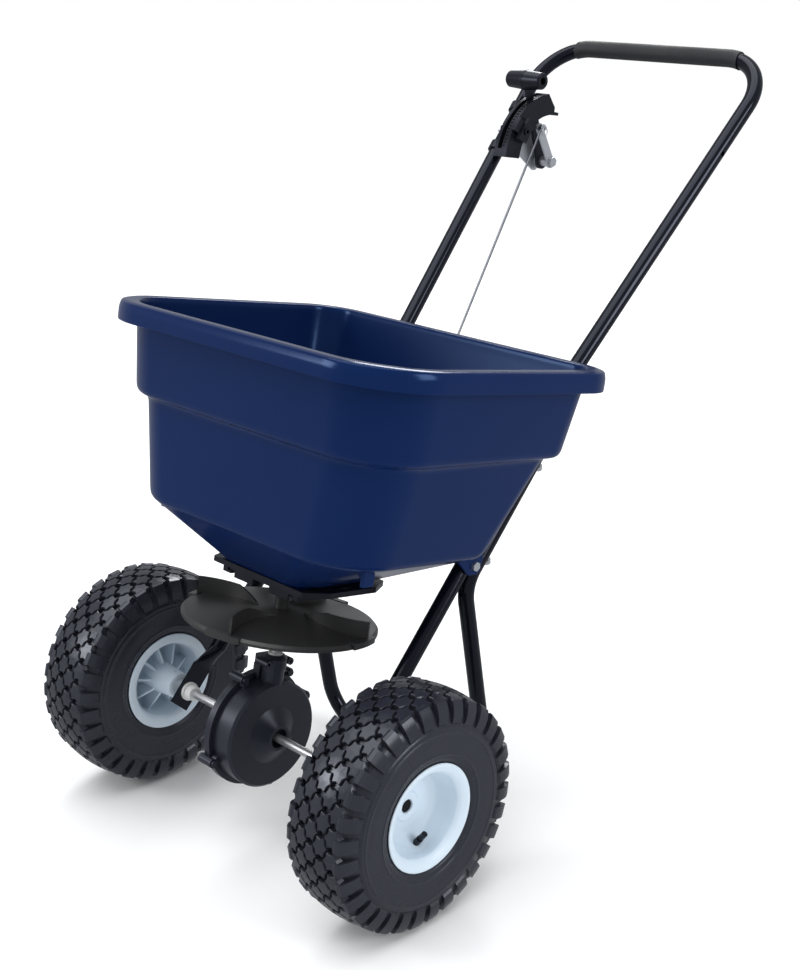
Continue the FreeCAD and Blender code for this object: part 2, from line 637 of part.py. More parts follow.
def rod_ends():
    """Rod pin on the lever and rod hook on the crank, in the machine's frame."""
    a = math.radians(PIN_ANGLE)
    local = Vector(ROD_X, QUAD_S + PIN_R * math.cos(a), PIVOT_N + PIN_R * math.sin(a))
    upper = placed(Part.Vertex(local), HANDLE_FRAME).Point
    meet = CRANK_MID + CRANK_SWING / CRANK_EXTRA / 2.0
    lower = placed(Part.Vertex(crank_point(CRANK_UP, meet)), HOPPER).Point
    return upper, lower


def gate_crank():
    """Bell crank that turns the rod's pull into the gate's travel."""
    rest = CRANK_MID + CRANK_SWING / 2.0
    half = CRANK_T / 2.0
    down = -90.0 + CRANK_SWING / 2.0
    hub = Part.makeCylinder(8.0, CRANK_T, Vector(CRANK_X - half, CRANK_Y, CRANK_Z), Vector(1, 0, 0))
    shape = hub
    for arm, angle, width in ((CRANK_UP, rest, 15.0), (CRANK_DOWN, down, 10.0)):
        end = crank_point(arm, angle)
        tip = Part.makeCylinder(width / 2, CRANK_T, Vector(CRANK_X - half, end.y, end.z), Vector(1, 0, 0))
        bar = box(-half, half, 0.0, arm, -width / 2, width / 2)
        turn = Placement(Vector(CRANK_X, CRANK_Y, CRANK_Z), Rotation(Vector(1, 0, 0), angle))
        shape = shape.fuse([tip, placed(bar, turn)])
    slot_end = CRANK_UP + ROD_R + 0.9
    slot = box(-half - 1, half + 1, CRANK_UP - SLOT_RUN - ROD_R - 0.9, slot_end, -SLOT_HALF, SLOT_HALF)
    turn = Placement(Vector(CRANK_X, CRANK_Y, CRANK_Z), Rotation(Vector(1, 0, 0), rest))
    shape = shape.cut(placed(slot, turn))
    stretch = box(-half, half, CRANK_UP, CRANK_UP + 7.5, -7.5, 7.5)
    stretch = stretch.cut(box(-half - 1, half + 1, CRANK_UP - 1.0, slot_end, -SLOT_HALF, SLOT_HALF))
    shape = shape.fuse(placed(stretch, turn))
    bore = Vector(CRANK_X - 9, CRANK_Y, CRANK_Z)
    shape = shape.cut(Part.makeCylinder(3.0 + RUN, 18.0, bore, Vector(1, 0, 0)))
    gate_pin_at = crank_point(CRANK_DOWN, down)
    pin = Part.makeCylinder(2.0, 8.0, gate_pin_at + Vector(half - 8.0, 0, 0), Vector(1, 0, 0))
    return placed(shape.fuse(pin), HOPPER)


def crank_bracket():
    """Bracket on the funnel's rear slope that carries the crank's pin."""
    run = EDGE_PLAN[3] - FLOOR_PLAN[3]
    rise = EDGE_Z - FLOOR_Z
    length = math.hypot(run, rise)
    out = Vector(0, rise / length, -run / length)
    along = Vector(0, run / length, rise / length)
    x0 = CRANK_X + CRANK_T / 2.0 + 0.4
    centre = Vector(x0, CRANK_Y, CRANK_Z)
    gap = (centre - Vector(x0, FLOOR_PLAN[3], FLOOR_Z)).dot(out)
    seat = centre - out * (gap - SEAT)
    corners = [seat - along * 14.0, seat + along * 14.0, centre + along * 8.0 + out * 7.0,
               centre - along * 8.0 + out * 7.0]
    web = flat_plate(corners, [0.0, 0.0, 5.0, 5.0], 3.0, Vector(1, 0, 0))
    base = [seat - along * 14.0, seat + along * 14.0, seat + along * 14.0 + out * 3.0,
            seat - along * 14.0 + out * 3.0]
    foot = Part.Face(Part.makePolygon(base + base[:1])).extrude(Vector(18.0, 0, 0))
    shape = web.fuse(foot)
    shape = shape.cut(Part.makeCylinder(3.0 + RUN, 10.0, centre - Vector(2, 0, 0), Vector(1, 0, 0)))
    pin = Part.makeCylinder(3.0, CRANK_T + 6.0, centre - Vector(CRANK_T + 2.4, 0, 0), Vector(1, 0, 0))
    head = Part.makeCylinder(5.0, 1.6, centre - Vector(CRANK_T + 2.4, 0, 0), Vector(1, 0, 0))
    clip = Part.makeCylinder(5.0, 1.0, centre + Vector(3.2, 0, 0), Vector(1, 0, 0))
    return placed(shape, HOPPER), placed(pin.fuse([head, clip]), HOPPER)


# ---------------------------------------------------------------- gearbox
def gearbox_boss(angle, x0, x1, hole=BOLT_R - 1.0):
    """Screw boss on the gearbox's flange."""
    centre = polar(BOSS_RING_R, angle, x0, Vector())
    ear = cylinder(5.5, centre, centre + Vector(x1 - x0, 0, 0))
    root = polar(BOSS_RING_R - 8.0, angle, x0, Vector())
    ear = ear.fuse(cylinder(5.0, root, root + Vector(x1 - x0, 0, 0)))
    drill = cylinder(hole, centre - Vector(1, 0, 0), centre + Vector(x1 - x0 + 1.0, 0, 0))
    return ear, drill


def gearbox_near():
    """Near half: drum, cone with the axle's opening, neck around the vertical shaft."""
    wall = GEARBOX_WALL
    split = GEARBOX_SPLIT
    inner = GEARBOX_R - wall
    face = GEARBOX_NEAR
    profile = [(split, inner), (split, GEARBOX_FLANGE_R), (split + 4, GEARBOX_FLANGE_R),
               (split + 4, GEARBOX_R), (face - 3, GEARBOX_R), (face, GEARBOX_R - 3),
               (face, CONE_BASE_R), (CONE_TIP_X, CONE_TIP_R), (CONE_TIP_X, 11.5),
               (CONE_TIP_X - 9, 11.5), (CONE_TIP_X - 9, AXLE_R + RUN), (face - 6, AXLE_R + RUN),
               (face - 6, 13.0), (face + 3, 13.0), (face - wall, CONE_BASE_R), (face - wall, inner)]
    shape = revolve_x(profile)
    neck = Part.makeCylinder(NECK_R, NECK_TOP - NECK_FROM, Vector(0, 0, NECK_FROM))
    shoulder = box(split, -NECK_R + 4.0, -NECK_R, NECK_R, NECK_FROM, NECK_TOP)
    shape = shape.fuse([neck, shoulder])
    for angle in BOSS_ANGLES:
        ear, drill = gearbox_boss(angle, split, split + 12.0)
        ear = ear.cut(Part.makeCylinder(inner + 1, 90.0, Vector(-60, 0, 0), Vector(1, 0, 0)))
        shape = shape.fuse(ear).cut(drill)
    shape = shape.cut(Part.makeCylinder(NECK_R - wall, 12.0, Vector(0, 0, NECK_TOP - 10.0)))
    shape = shape.cut(Part.makeCylinder(SHAFT_R + 2.0, 60.0, Vector(0, 0, 50.0)))
    pocket_r = PINION_R + TOOTH_H / 2.0 + 0.6
    shape = shape.cut(Part.makeCylinder(pocket_r, 19.0, Vector(0, 0, MESH_R - 9.0)))
    return placed(shape, HOPPER)


def gearbox_far():
    """Far half: shallow drum with its flange and a rounded back."""
    wall = GEARBOX_WALL
    split = GEARBOX_SPLIT
    inner = GEARBOX_R - wall
    back = GEARBOX_FAR
    profile = [(split, inner), (split, GEARBOX_FLANGE_R), (split - 5, GEARBOX_FLANGE_R),
               (split - 5, GEARBOX_R), (back + 5, GEARBOX_R), (back, GEARBOX_R - 5),
               (back, 16.0), (back - 6, 13.0), (back - 6, AXLE_R + RUN), (back + 4, AXLE_R + RUN),
               (back + 4, 13.0), (back + wall, 13.0), (back + wall, inner - 4), (back + 7, inner)]
    shape = revolve_x(profile)
    shape.translate(Vector(-0.1, 0, 0))
    for angle in BOSS_ANGLES:
        ear, drill = gearbox_boss(angle, split - 10.1, split - 0.1)
        ear = ear.cut(Part.makeCylinder(inner + 1, 90.0, Vector(-60, 0, 0), Vector(1, 0, 0)))
        shape = shape.fuse(ear).cut(drill)
    return placed(shape, HOPPER)


def gearbox_screws():
    """Screws through the flange bosses."""
    screws = []
    for angle in BOSS_ANGLES:
        centre = polar(BOSS_RING_R, angle, GEARBOX_SPLIT + 12.1, Vector())
        shank = cylinder(BOLT_R - 1.1, centre, centre - Vector(24.0, 0, 0))
        head = cylinder(4.0, centre, centre + Vector(2.4, 0, 0))
        screws.append(placed(shank.fuse(head), HOPPER))
    return screws


def bearing_cap():
    """Cap on the neck, with a screw boss on each side and a shoulder on the far side."""
    low = NECK_TOP + 0.1
    high = NECK_TOP + CAP_H
    skirt_r = NECK_R - wall_in_neck()
    ring = revolve_z([(SHAFT_R + 3.3, low - 9.6), (skirt_r, low - 9.6), (skirt_r, low), (NECK_R + 1.5, low),
                      (NECK_R + 1.5, high - 4.0), (NECK_R - 2.0, high), (SHAFT_R + 3.3, high)])
    extras = [box(GEARBOX_SPLIT, -NECK_R + 3.0, -NECK_R + 1.0, NECK_R - 1.0, low, high - 4.0)]
    bore = [Part.makeCylinder(SHAFT_R + 3.3, 40.0, Vector(0, 0, NECK_TOP - 15.0))]
    for side in (-1, 1):
        centre = Vector(0, side * (NECK_R + 3.5), NECK_TOP + 6.5)
        extras.append(cylinder(4.4, centre - Vector(9.0, 0, 0), centre + Vector(10.0, 0, 0)))
        bore.append(cylinder(1.8, centre - Vector(20.0, 0, 0), centre + Vector(20.0, 0, 0)))
    return placed(ring.fuse(extras).cut(bore), HOPPER)


def wall_in_neck():
    """Neck's wall round the cap's skirt, with the skirt's clearance."""
    return GEARBOX_WALL + 0.3


def shaft_bush():
    """Bush that guides the vertical shaft in the neck."""
    low = NECK_TOP - 9.8
    high = NECK_TOP + CAP_H + 0.2
    profile = [(SHAFT_R + RUN, low), (SHAFT_R + 3.0, low), (SHAFT_R + 3.0, high), (SHAFT_R + 4.5, high),
               (SHAFT_R + 4.5, high + 1.4), (SHAFT_R + RUN, high + 1.4)]
    return placed(revolve_z(profile), HOPPER)


def ring_gear():
    """Face gear on the axle, its teeth towards the pinion."""
    face = -(PINION_R + TOOTH_H / 2.0 + 0.6)
    back = GEAR_PIN_X - 4.0
    hub = revolve_x([(back, AXLE_R + SEAT), (back, 12.0), (face - 6.0, 12.0), (face - 6.0, 55.0),
                     (face, 55.0), (face, 12.0), (face + 4.0, 12.0), (face + 4.0, AXLE_R + SEAT)])
    teeth = []
    for i in range(RING_TEETH):
        tooth = box(face - 0.5, face + TOOTH_H, -TOOTH_W / 2, TOOTH_W / 2, MESH_R - 3, MESH_R + 6)
        turn = 360.0 / RING_TEETH * (i + 0.5)
        teeth.append(placed(tooth, Placement(Vector(), Rotation(Vector(1, 0, 0), turn))))
    shape = hub.fuse(teeth)
    shape = shape.cut(Part.makeCylinder(1.6, 30.0, Vector(GEAR_PIN_X, 0, -15.0)))
    return placed(shape, HOPPER)


def pinion():
    """Small gear on the vertical shaft."""
    low = MESH_R - 6.0
    core = Part.makeCylinder(PINION_R - TOOTH_H / 2 - 0.6, 12.0, Vector(0, 0, low))
    teeth = []
    for i in range(PINION_TEETH):
        tooth = box(PINION_R - TOOTH_H, PINION_R + TOOTH_H / 2, -TOOTH_W / 2, TOOTH_W / 2, low, low + 12)
        turn = 180.0 + 360.0 / PINION_TEETH * i
        teeth.append(placed(tooth, Placement(Vector(), Rotation(Vector(0, 0, 1), turn))))
    shape = core.fuse(teeth).cut(Part.makeCylinder(SHAFT_R + SEAT, 20.0, Vector(0, 0, low - 4)))
    shape = shape.cut(cylinder(1.3, Vector(0, -20, low + 6), Vector(0, 20, low + 6)))
    return placed(shape, HOPPER)


# ---------------------------------------------------------------- spinner
def spinner_shaft():
    """Vertical shaft from the pinion up into the hopper."""
    shaft = Part.makeCylinder(SHAFT_R, 185.0, Vector(0, 0, 38.0))
    for z in (MESH_R, HUB_PIN_Z, FLOOR_Z + 14.0):
        shaft = shaft.cut(cylinder(1.3, Vector(0, -10, z), Vector(0, 10, z)))
    return placed(shaft, HOPPER)


def shaft_pins():
    """Roll pins through the pinion and the spinner's hub."""
    pins = []
    for z, reach in ((MESH_R, PINION_R - 2.0), (HUB_PIN_Z, SPINNER_HUB_R)):
        pins.append(placed(cylinder(1.2, Vector(0, -reach, z), Vector(0, reach, z)), HOPPER))
    return pins


def agitator():
    """Wire through the shaft that stirs the hopper's outlets."""
    z = FLOOR_Z + 14.0
    path = tube_path([Vector(0, -25, z - 5), Vector(0, -17, z), Vector(0, 17, z), Vector(0, 25, z - 5)],
                     [5.0, 5.0])
    ring = Part.Wire(Part.makeCircle(1.2, Vector(0, -25, z - 5), Vector(0, 8, 5)))
    return placed(path.makePipeShell([ring], True, False, 1), HOPPER)


def spinner_fin(top):
    """Bowed fin with its outer end at zero degrees, and the block that ties it to the rim."""
    inner = Vector(FIN_IN_R, FIN_BOW - 4.0, top - 2.0)
    middle = Vector(FIN_IN_R + 28.0, -FIN_BOW / 2.0, top - 2.0)
    outer = Vector(SPINNER_R - 1.0, 0, top - 2.0)
    thick = Vector(0, -SPINNER_T, 0)
    edges = [Part.Arc(inner, middle, outer).toShape(),
             Part.LineSegment(outer, outer + thick).toShape(),
             Part.Arc(outer + thick, middle + thick, inner + thick).toShape(),
             Part.LineSegment(inner + thick, inner).toShape()]
    fin = Part.Face(Part.Wire(edges)).extrude(Vector(0, 0, FIN_H + 2.0))
    high = top + FIN_H + 1.0
    corners = [Vector(FIN_IN_R - 4, -30, high), Vector(FIN_IN_R - 4, -30, top + SPINNER_RISE - 1.0),
               Vector(FIN_IN_R + 2, -30, top + SPINNER_RISE - 1.0), Vector(FIN_IN_R + 38, -30, high),
               Vector(FIN_IN_R - 4, -30, high)]
    fin = fin.cut(Part.Face(Part.makePolygon(corners)).extrude(Vector(0, 60, 0)))
    low = top - SPINNER_SKIRT
    block = Part.makeCylinder(FIN_BLOCK_R, 7.0, Vector(0, 0, low), Vector(0, 0, 1), 22.0)
    block = block.cut(Part.makeCylinder(SPINNER_R - 6.0, 9.0, Vector(0, 0, low - 1.0)))
    block.rotate(Vector(), Vector(0, 0, 1), -16.0)
    return fin.fuse(block)


def spinner():
    """Shallow cone with a turned-down rim, a hub and four bowed fins."""
    top = SPINNER_EDGE
    profile = [(SHAFT_R + SEAT, top + SPINNER_RISE), (SPINNER_R - 3, top), (SPINNER_R, top - 3),
               (SPINNER_R, top - SPINNER_SKIRT), (SPINNER_R - SPINNER_T, top - SPINNER_SKIRT),
               (SPINNER_R - SPINNER_T, top - SPINNER_T), (SHAFT_R + SEAT, top + SPINNER_RISE - SPINNER_T)]
    shape = revolve_z(profile)
    hub = revolve_z([(SHAFT_R + SEAT, top + 2.0), (SPINNER_HUB_R, top + 2.0),
                     (SPINNER_HUB_R, SPINNER_HUB_TOP), (SHAFT_R + SEAT, SPINNER_HUB_TOP)])
    shape = shape.fuse(hub)
    for i in range(FIN_COUNT):
        turn = Rotation(Vector(0, 0, 1), 360.0 / FIN_COUNT * i + FIN_TURN)
        shape = shape.fuse(placed(spinner_fin(top), Placement(Vector(), turn)))
    shape = shape.cut(Part.makeCylinder(SHAFT_R + SEAT, 60.0, Vector(0, 0, top - 10)))
    return placed(shape.cut(cylinder(1.3, Vector(0, -12, HUB_PIN_Z), Vector(0, 12, HUB_PIN_Z))), HOPPER)


# ---------------------------------------------------------------- wheels
def wheel_rim(bore, pinned):
    """Moulded rim for the +x side: barrel, flanges, web, hub tube and ribs."""
    barrel_in = BEAD_SEAT_R - RIM_WALL
    flange_t = 3.6
    w = RIM_HALF_W
    profile = [(-HUB_INNER, bore), (-HUB_INNER, HUB_R - 1.5), (-HUB_INNER + 1.5, HUB_R), (-8.0, HUB_R + 3),
               (1.5, HUB_R + 8), (1.5, barrel_in - 6), (-4.0, barrel_in), (-w + 4, barrel_in + 1),
               (-w, barrel_in + 5), (-w, FLANGE_R - 1.5), (-w + 1.5, FLANGE_R),
               (-w + flange_t, FLANGE_R - 2), (-w + flange_t, BEAD_SEAT_R), (w - flange_t, BEAD_SEAT_R),
               (w - flange_t, FLANGE_R - 2), (w - 1.5, FLANGE_R), (w, FLANGE_R - 1.5),
               (w, barrel_in + 5), (w - 6, barrel_in + 1), (14.0, barrel_in - 3), (6.5, barrel_in - 12),
               (6.5, HUB_R + 5), (HUB_FACE, HUB_R), (HUB_FACE, 7.5), (HUB_FACE - 6.0, 7.5),
               (HUB_FACE - 6.0, bore)]
    shape = revolve_x(profile, AXLE_Z)
    for i in range(RIB_COUNT):
        rib = box(-30.0, 2.0, HUB_R - 1.0, barrel_in + 1.0, -1.4, 1.4)
        cut = Part.Face(Part.makePolygon([
            Vector(-31, HUB_R + 4.5, -3), Vector(-31, barrel_in + 2, -3), Vector(-16, barrel_in + 2, -3),
            Vector(-31, HUB_R + 4.5, -3)])).extrude(Vector(0, 0, 6))
        turn = Rotation(Vector(1, 0, 0), 360.0 / RIB_COUNT * i + 10.0)
        shape = shape.fuse(placed(rib.cut(cut), Placement(Vector(0, 0, AXLE_Z), turn)))
    shape.translate(Vector(WHEEL_X, 0, 0))
    inside = Part.makeCylinder(bore, 90.0, Vector(WHEEL_X - HUB_INNER - 5, 0, AXLE_Z), Vector(1, 0, 0))
    shape = shape.cut(inside)
    for drill in (valve_bore(),):
        shape = shape.cut(drill)
    if pinned:
        pin_x = WHEEL_X - HUB_INNER + 8.0
        shape = shape.cut(cylinder(1.7, Vector(pin_x, 0, AXLE_Z - 25), Vector(pin_x, 0, AXLE_Z + 25)))
    return shape


def valve_line():
    """Ends of the valve stem: from the barrel's inside wall towards the dish's mouth."""
    start = Vector(WHEEL_X + 10.0, 8.0, AXLE_Z - BEAD_SEAT_R + 1.0)
    return start, Vector(WHEEL_X + 25.0, 9.0, AXLE_Z - 30.0)


def valve_bore():
    """Hole in the barrel for the valve stem."""
    start, end = valve_line()
    axis = (end - start).normalize()
    return cylinder(4.2, start - axis * 12.0, end)


def valve_stem():
    """Rubber valve stem with its cap."""
    start, end = valve_line()
    axis = (end - start).normalize()
    stem = cylinder(3.9, start - axis * 2.0, start + axis * 14.0)
    return stem.fuse([cylinder(2.6, start + axis * 13.0, end), cylinder(3.4, end - axis * 7.0, end)])


def tyre():
    """Pneumatic tyre for the +x side, open towards the rim."""
    seat_r = BEAD_SEAT_R + SEAT
    seat_x = RIM_HALF_W - 3.6 - 0.4
    wall = TYRE_WALL
    shoulder_r = TYRE_R - TREAD_DROP

    def point(x, r):
        return Vector(x, 0, r)

    side_mid = (TYRE_HALF_W, 92.0)
    outer = [Part.LineSegment(point(seat_x, seat_r), point(seat_x, FLANGE_R + 1.5)),
             Part.Arc(point(seat_x, FLANGE_R + 1.5), point(*side_mid), point(TREAD_HALF_W + 4, 118.0)),
             Part.LineSegment(point(TREAD_HALF_W + 4, 118.0), point(TREAD_HALF_W, shoulder_r)),
             Part.Arc(point(TREAD_HALF_W, shoulder_r), point(0, TYRE_R), point(-TREAD_HALF_W, shoulder_r)),
             Part.LineSegment(point(-TREAD_HALF_W, shoulder_r), point(-TREAD_HALF_W - 4, 118.0)),
             Part.Arc(point(-TREAD_HALF_W - 4, 118.0), point(-side_mid[0], side_mid[1]),
                      point(-seat_x, FLANGE_R + 1.5)),
             Part.LineSegment(point(-seat_x, FLANGE_R + 1.5), point(-seat_x, seat_r)),
             Part.LineSegment(point(-seat_x, seat_r), point(-seat_x + 9, seat_r)),
             Part.LineSegment(point(-seat_x + 9, seat_r), point(-seat_x + 6, 64.0)),
             Part.Arc(point(-seat_x + 6, 64.0), point(-side_mid[0] + wall, 92.0),
                      point(-TREAD_HALF_W + 3, 116.0)),
             Part.Arc(point(-TREAD_HALF_W + 3, 116.0), point(0, TYRE_R - wall - 5),
                      point(TREAD_HALF_W - 3, 116.0)),
             Part.Arc(point(TREAD_HALF_W - 3, 116.0), point(side_mid[0] - wall, 92.0),
                      point(seat_x - 6, 64.0)),
             Part.LineSegment(point(seat_x - 6, 64.0), point(seat_x - 9, seat_r)),
             Part.LineSegment(point(seat_x - 9, seat_r), point(seat_x, seat_r))]
    face = Part.Face(Part.Wire([edge.toShape() for edge in outer]))
    ring = face.revolve(Vector(), Vector(1, 0, 0), 360)
    ring.translate(Vector(WHEEL_X, 0, AXLE_Z))
    return ring


def axle():
    """Steel axle through both wheels, the bushings and the gearbox."""
    half = WHEEL_X + HUB_FACE - 3.0
    shape = cylinder(AXLE_R, Vector(-half, 0, AXLE_Z), Vector(half, 0, AXLE_Z))
    pin_x = -(WHEEL_X - HUB_INNER + 8.0)
    shape = shape.cut(cylinder(1.7, Vector(pin_x, 0, AXLE_Z - 9), Vector(pin_x, 0, AXLE_Z + 9)))
    gear_hole = Part.makeCylinder(1.6, 30.0, Vector(GEAR_PIN_X, 0, -15.0))
    return shape.cut(placed(gear_hole, HOPPER))


def axle_pins():
    """Roll pins that drive the wheel's hub and the ring gear."""
    pin_x = -(WHEEL_X - HUB_INNER + 8.0)
    drive = cylinder(1.6, Vector(pin_x, 0, AXLE_Z - HUB_R), Vector(pin_x, 0, AXLE_Z + HUB_R))
    gear = placed(Part.makeCylinder(1.5, 24.0, Vector(GEAR_PIN_X, 0, -12.0)), HOPPER)
    return [drive, gear]


def axle_washers():
    """Washers between the bushings and the wheel hubs."""
    start = FRAME_X + TUBE_R + 2.1
    end = WHEEL_X - HUB_INNER - 0.3
    washer = revolve_x([(start + 0.2, AXLE_R + SEAT), (start + 0.2, 10.0), (end, 10.0),
                        (end, AXLE_R + SEAT)], AXLE_Z)
    return both(washer)


def axle_caps():
    """Push-on caps on the axle's ends, sunk in the hubs."""
    end = WHEEL_X + HUB_FACE
    cap = revolve_x([(end - 5.4, AXLE_R + RUN), (end - 5.4, 6.9), (end - 2.0, 6.9), (end - 0.8, 5.0),
                     (end - 0.8, 0.0), (end - 2.8, 0.0), (end - 2.8, AXLE_R + RUN)], AXLE_Z)
    return both(cap)


# ---------------------------------------------------------------- flow control
def pivot():
    """Lever pivot in the handle's local frame."""
    return Vector(0, QUAD_S, PIVOT_N)


def quadrant():
    """Curved guide with the lever's slot, the scale and two saddles on the tube."""
    centre = pivot()
    far_wall = arc_band(QUAD_IN_R, QUAD_OUT_R, QUAD_FROM, QUAD_TO, QUAD_X0, SLOT_X, centre)
    near_wall = arc_band(QUAD_IN_R, QUAD_OUT_R, QUAD_FROM, QUAD_TO, SLOT_X + SLOT_W, QUAD_X1, centre)
    top = arc_band(QUAD_IN_R, QUAD_OUT_R, QUAD_FROM, SLOT_FROM, QUAD_X0, QUAD_X1, centre)
    bottom = arc_band(QUAD_IN_R, QUAD_OUT_R, SLOT_TO, QUAD_TO, QUAD_X0, QUAD_X1, centre)
    web = box(QUAD_X0, SLOT_X, QUAD_S - 26, QUAD_S + 26, -12.0, 12.0)
    shape = far_wall.fuse([near_wall, top, bottom, web])
    for turn in range(int(SLOT_FROM) + 4, int(SLOT_TO) - 2, 3):
        notch = arc_band(QUAD_OUT_R - 1.2, QUAD_OUT_R + 1, turn, turn + 1.3, SLOT_X + SLOT_W + 1.2,
                         QUAD_X1 - 3.0, centre)
        shape = shape.cut(notch)
    splay = Rotation(Vector(0, 0, 1), HANDLE_SPLAY)
    tip = arc_band(QUAD_IN_R, QUAD_IN_R + 4.0, QUAD_FROM - 8.0, QUAD_FROM + 2.0, QUAD_X0, QUAD_X1, centre)
    corner = [polar(QUAD_OUT_R + 3.0, QUAD_FROM + 11.0, QUAD_X0 - 1.0, centre),
              polar(QUAD_OUT_R + 3.0, QUAD_FROM - 4.0, QUAD_X0 - 1.0, centre),
              polar(QUAD_IN_R + 5.0, QUAD_FROM - 4.0, QUAD_X0 - 1.0, centre)]
    wedge = Part.Face(Part.makePolygon(corner + corner[:1])).extrude(Vector(QUAD_X1 - QUAD_X0 + 2.0, 0, 0))
    shape = shape.cut(wedge).fuse(tip)
    for step in (-33.0, 33.0):
        collar = Part.makeCylinder(TUBE_R + 2.8, 12.0, Vector(0, step - 6.0, 0), Vector(0, 1, 0))
        collar = collar.common(box(-30, 30, -60, 60, -6.0, 30.0))
        collar = placed(collar, Placement(Vector(QUAD_TUBE_X, QUAD_S, 0), splay))
        bridge = box(QUAD_TUBE_X, QUAD_X0 + 2.0, QUAD_S + step - 5, QUAD_S + step + 5, -4.0, 8.0)
        shape = shape.fuse([collar, bridge])
    bore = Part.makeCylinder(TUBE_R + SEAT, 140.0, Vector(0, -70, 0), Vector(0, 1, 0))
    shape = shape.cut(placed(bore, Placement(Vector(QUAD_TUBE_X, QUAD_S, 0), splay)))
    drill = cylinder(BOLT_R + 0.2, Vector(QUAD_X0 - 1, QUAD_S, 0), Vector(SLOT_X + 1, QUAD_S, 0))
    sink = Part.makeCone(6.4, BOLT_R, 3.4, Vector(SLOT_X + 0.01, QUAD_S, 0), Vector(-1, 0, 0))
    return placed(shape.cut([drill, sink]), HANDLE_FRAME)


def pivot_bracket():
    """Zinc plate from the tube's bolt down to the lever's pivot."""
    x = BRACKET_X
    corners = [Vector(x, QUAD_S - 22, 10.5), Vector(x, QUAD_S - 14, PIVOT_N - 9.0),
               Vector(x, QUAD_S + 12, PIVOT_N - 9.0), Vector(x, QUAD_S + 26, 10.5)]
    plate = flat_plate(corners, [4.0, 8.0, 8.0, 4.0], BRACKET_T - 0.1, Vector(1, 0, 0))
    splay = Rotation(Vector(0, 0, 1), HANDLE_SPLAY)
    bore = Part.makeCylinder(TUBE_R + 0.1, 140.0, Vector(0, -70, 0), Vector(0, 1, 0))
    plate = plate.cut(placed(bore, Placement(Vector(QUAD_TUBE_X, QUAD_S, 0), splay)))
    for n, r in ((0.0, BOLT_R + 0.2), (PIVOT_N, PIVOT_R + RUN)):
        plate = plate.cut(cylinder(r, Vector(x - 2, QUAD_S, n), Vector(x + 5, QUAD_S, n)))
    return placed(plate, HANDLE_FRAME)


def quadrant_bolt():
    """Flat-headed bolt through the quadrant and the tube, with its nut outside."""
    start = Vector(SLOT_X - 0.2, QUAD_S, 0)
    end = Vector(QUAD_TUBE_X - TUBE_R - 8.0, QUAD_S, 0)
    head = Part.makeCone(6.0, BOLT_R, 3.0, start, Vector(-1, 0, 0))
    screw = placed(cylinder(BOLT_R, start, end).fuse(head), HANDLE_FRAME)
    fixing = nut(Vector(QUAD_TUBE_X - TUBE_R - 0.6, QUAD_S, 0), Vector(-1, 0, 0))
    return screw, placed(fixing, HANDLE_FRAME)


def pivot_bolt():
    """Shoulder bolt that carries the lever, and its nut."""
    start = Vector(LINK_X + LINK_T + 0.3, QUAD_S, PIVOT_N)
    end = Vector(BRACKET_X - 7.0, QUAD_S, PIVOT_N)
    screw = bolt(start, end, 4.0, 12.0, PIVOT_R)
    fixing = nut(Vector(BRACKET_X - 0.2, QUAD_S, PIVOT_N), Vector(-1, 0, 0), 5.0, 12.0, PIVOT_R)
    return placed(screw, HANDLE_FRAME), placed(fixing, HANDLE_FRAME)


def turned(shape, degrees):
    """A shape turned about the lever's pivot, in the handle's local frame."""
    copy = shape.copy()
    copy.rotate(pivot(), Vector(1, 0, 0), degrees)
    return copy


def lever_yoke():
    """Zinc sleeve on the pivot with the link that pulls the rod."""
    x0 = QUAD_X0 + 0.3
    sleeve = Part.makeCylinder(7.0, LINK_X - x0 + 0.5, Vector(x0, QUAD_S, PIVOT_N), Vector(1, 0, 0))
    link = box(LINK_X, LINK_X + LINK_T, QUAD_S, QUAD_S + PIN_R, PIVOT_N - 6.0, PIVOT_N + 6.0)
    foot = Part.makeCylinder(8.5, LINK_T, Vector(LINK_X, QUAD_S, PIVOT_N), Vector(1, 0, 0))
    tip = Part.makeCylinder(6.0, LINK_T, Vector(LINK_X, QUAD_S + PIN_R, PIVOT_N), Vector(1, 0, 0))
    shape = sleeve.fuse([turned(link, PIN_ANGLE), foot, turned(tip, PIN_ANGLE)])
    bore = Part.makeCylinder(PIVOT_R + RUN, 60.0, Vector(x0 - 5, QUAD_S, PIVOT_N), Vector(1, 0, 0))
    eye_at = Vector(LINK_X - 9, QUAD_S + PIN_R, PIVOT_N)
    eye = Part.makeCylinder(ROD_PIN_R + RUN, 20.0, eye_at, Vector(1, 0, 0))
    return placed(shape.cut([bore, turned(eye, PIN_ANGLE)]), HANDLE_FRAME)


def lever_arm():
    """Black lever blade that runs in the quadrant's slot."""
    blade_r = 10.0
    x = LEVER_X
    end = QUAD_S + LEVER_LEN - KNOB_R + 4.6
    outline = [Vector(x, QUAD_S - 6, PIVOT_N - blade_r), Vector(x, end, PIVOT_N - 5.0),
               Vector(x, end, PIVOT_N + 5.0), Vector(x, QUAD_S - 6, PIVOT_N + blade_r)]
    blade = flat_plate(outline, [4.0, 0.0, 0.0, 4.0], LEVER_T, Vector(1, 0, 0))
    blade = turned(blade, LEVER_ANGLE)
    foot = Part.makeCylinder(11.0, LEVER_T, Vector(x, QUAD_S, PIVOT_N), Vector(1, 0, 0))
    bore = Part.makeCylinder(7.0 + RUN, 20.0, Vector(x - 8, QUAD_S, PIVOT_N), Vector(1, 0, 0))
    return placed(blade.fuse(foot).cut(bore), HANDLE_FRAME)


def knob_end(side):
    """End of the grip's axis in the handle's local frame."""
    centre = polar(LEVER_LEN, LEVER_ANGLE, LEVER_X + LEVER_T / 2.0, pivot())
    return centre + Vector(side * GRIP_LEN / 2.0, 0, 0)


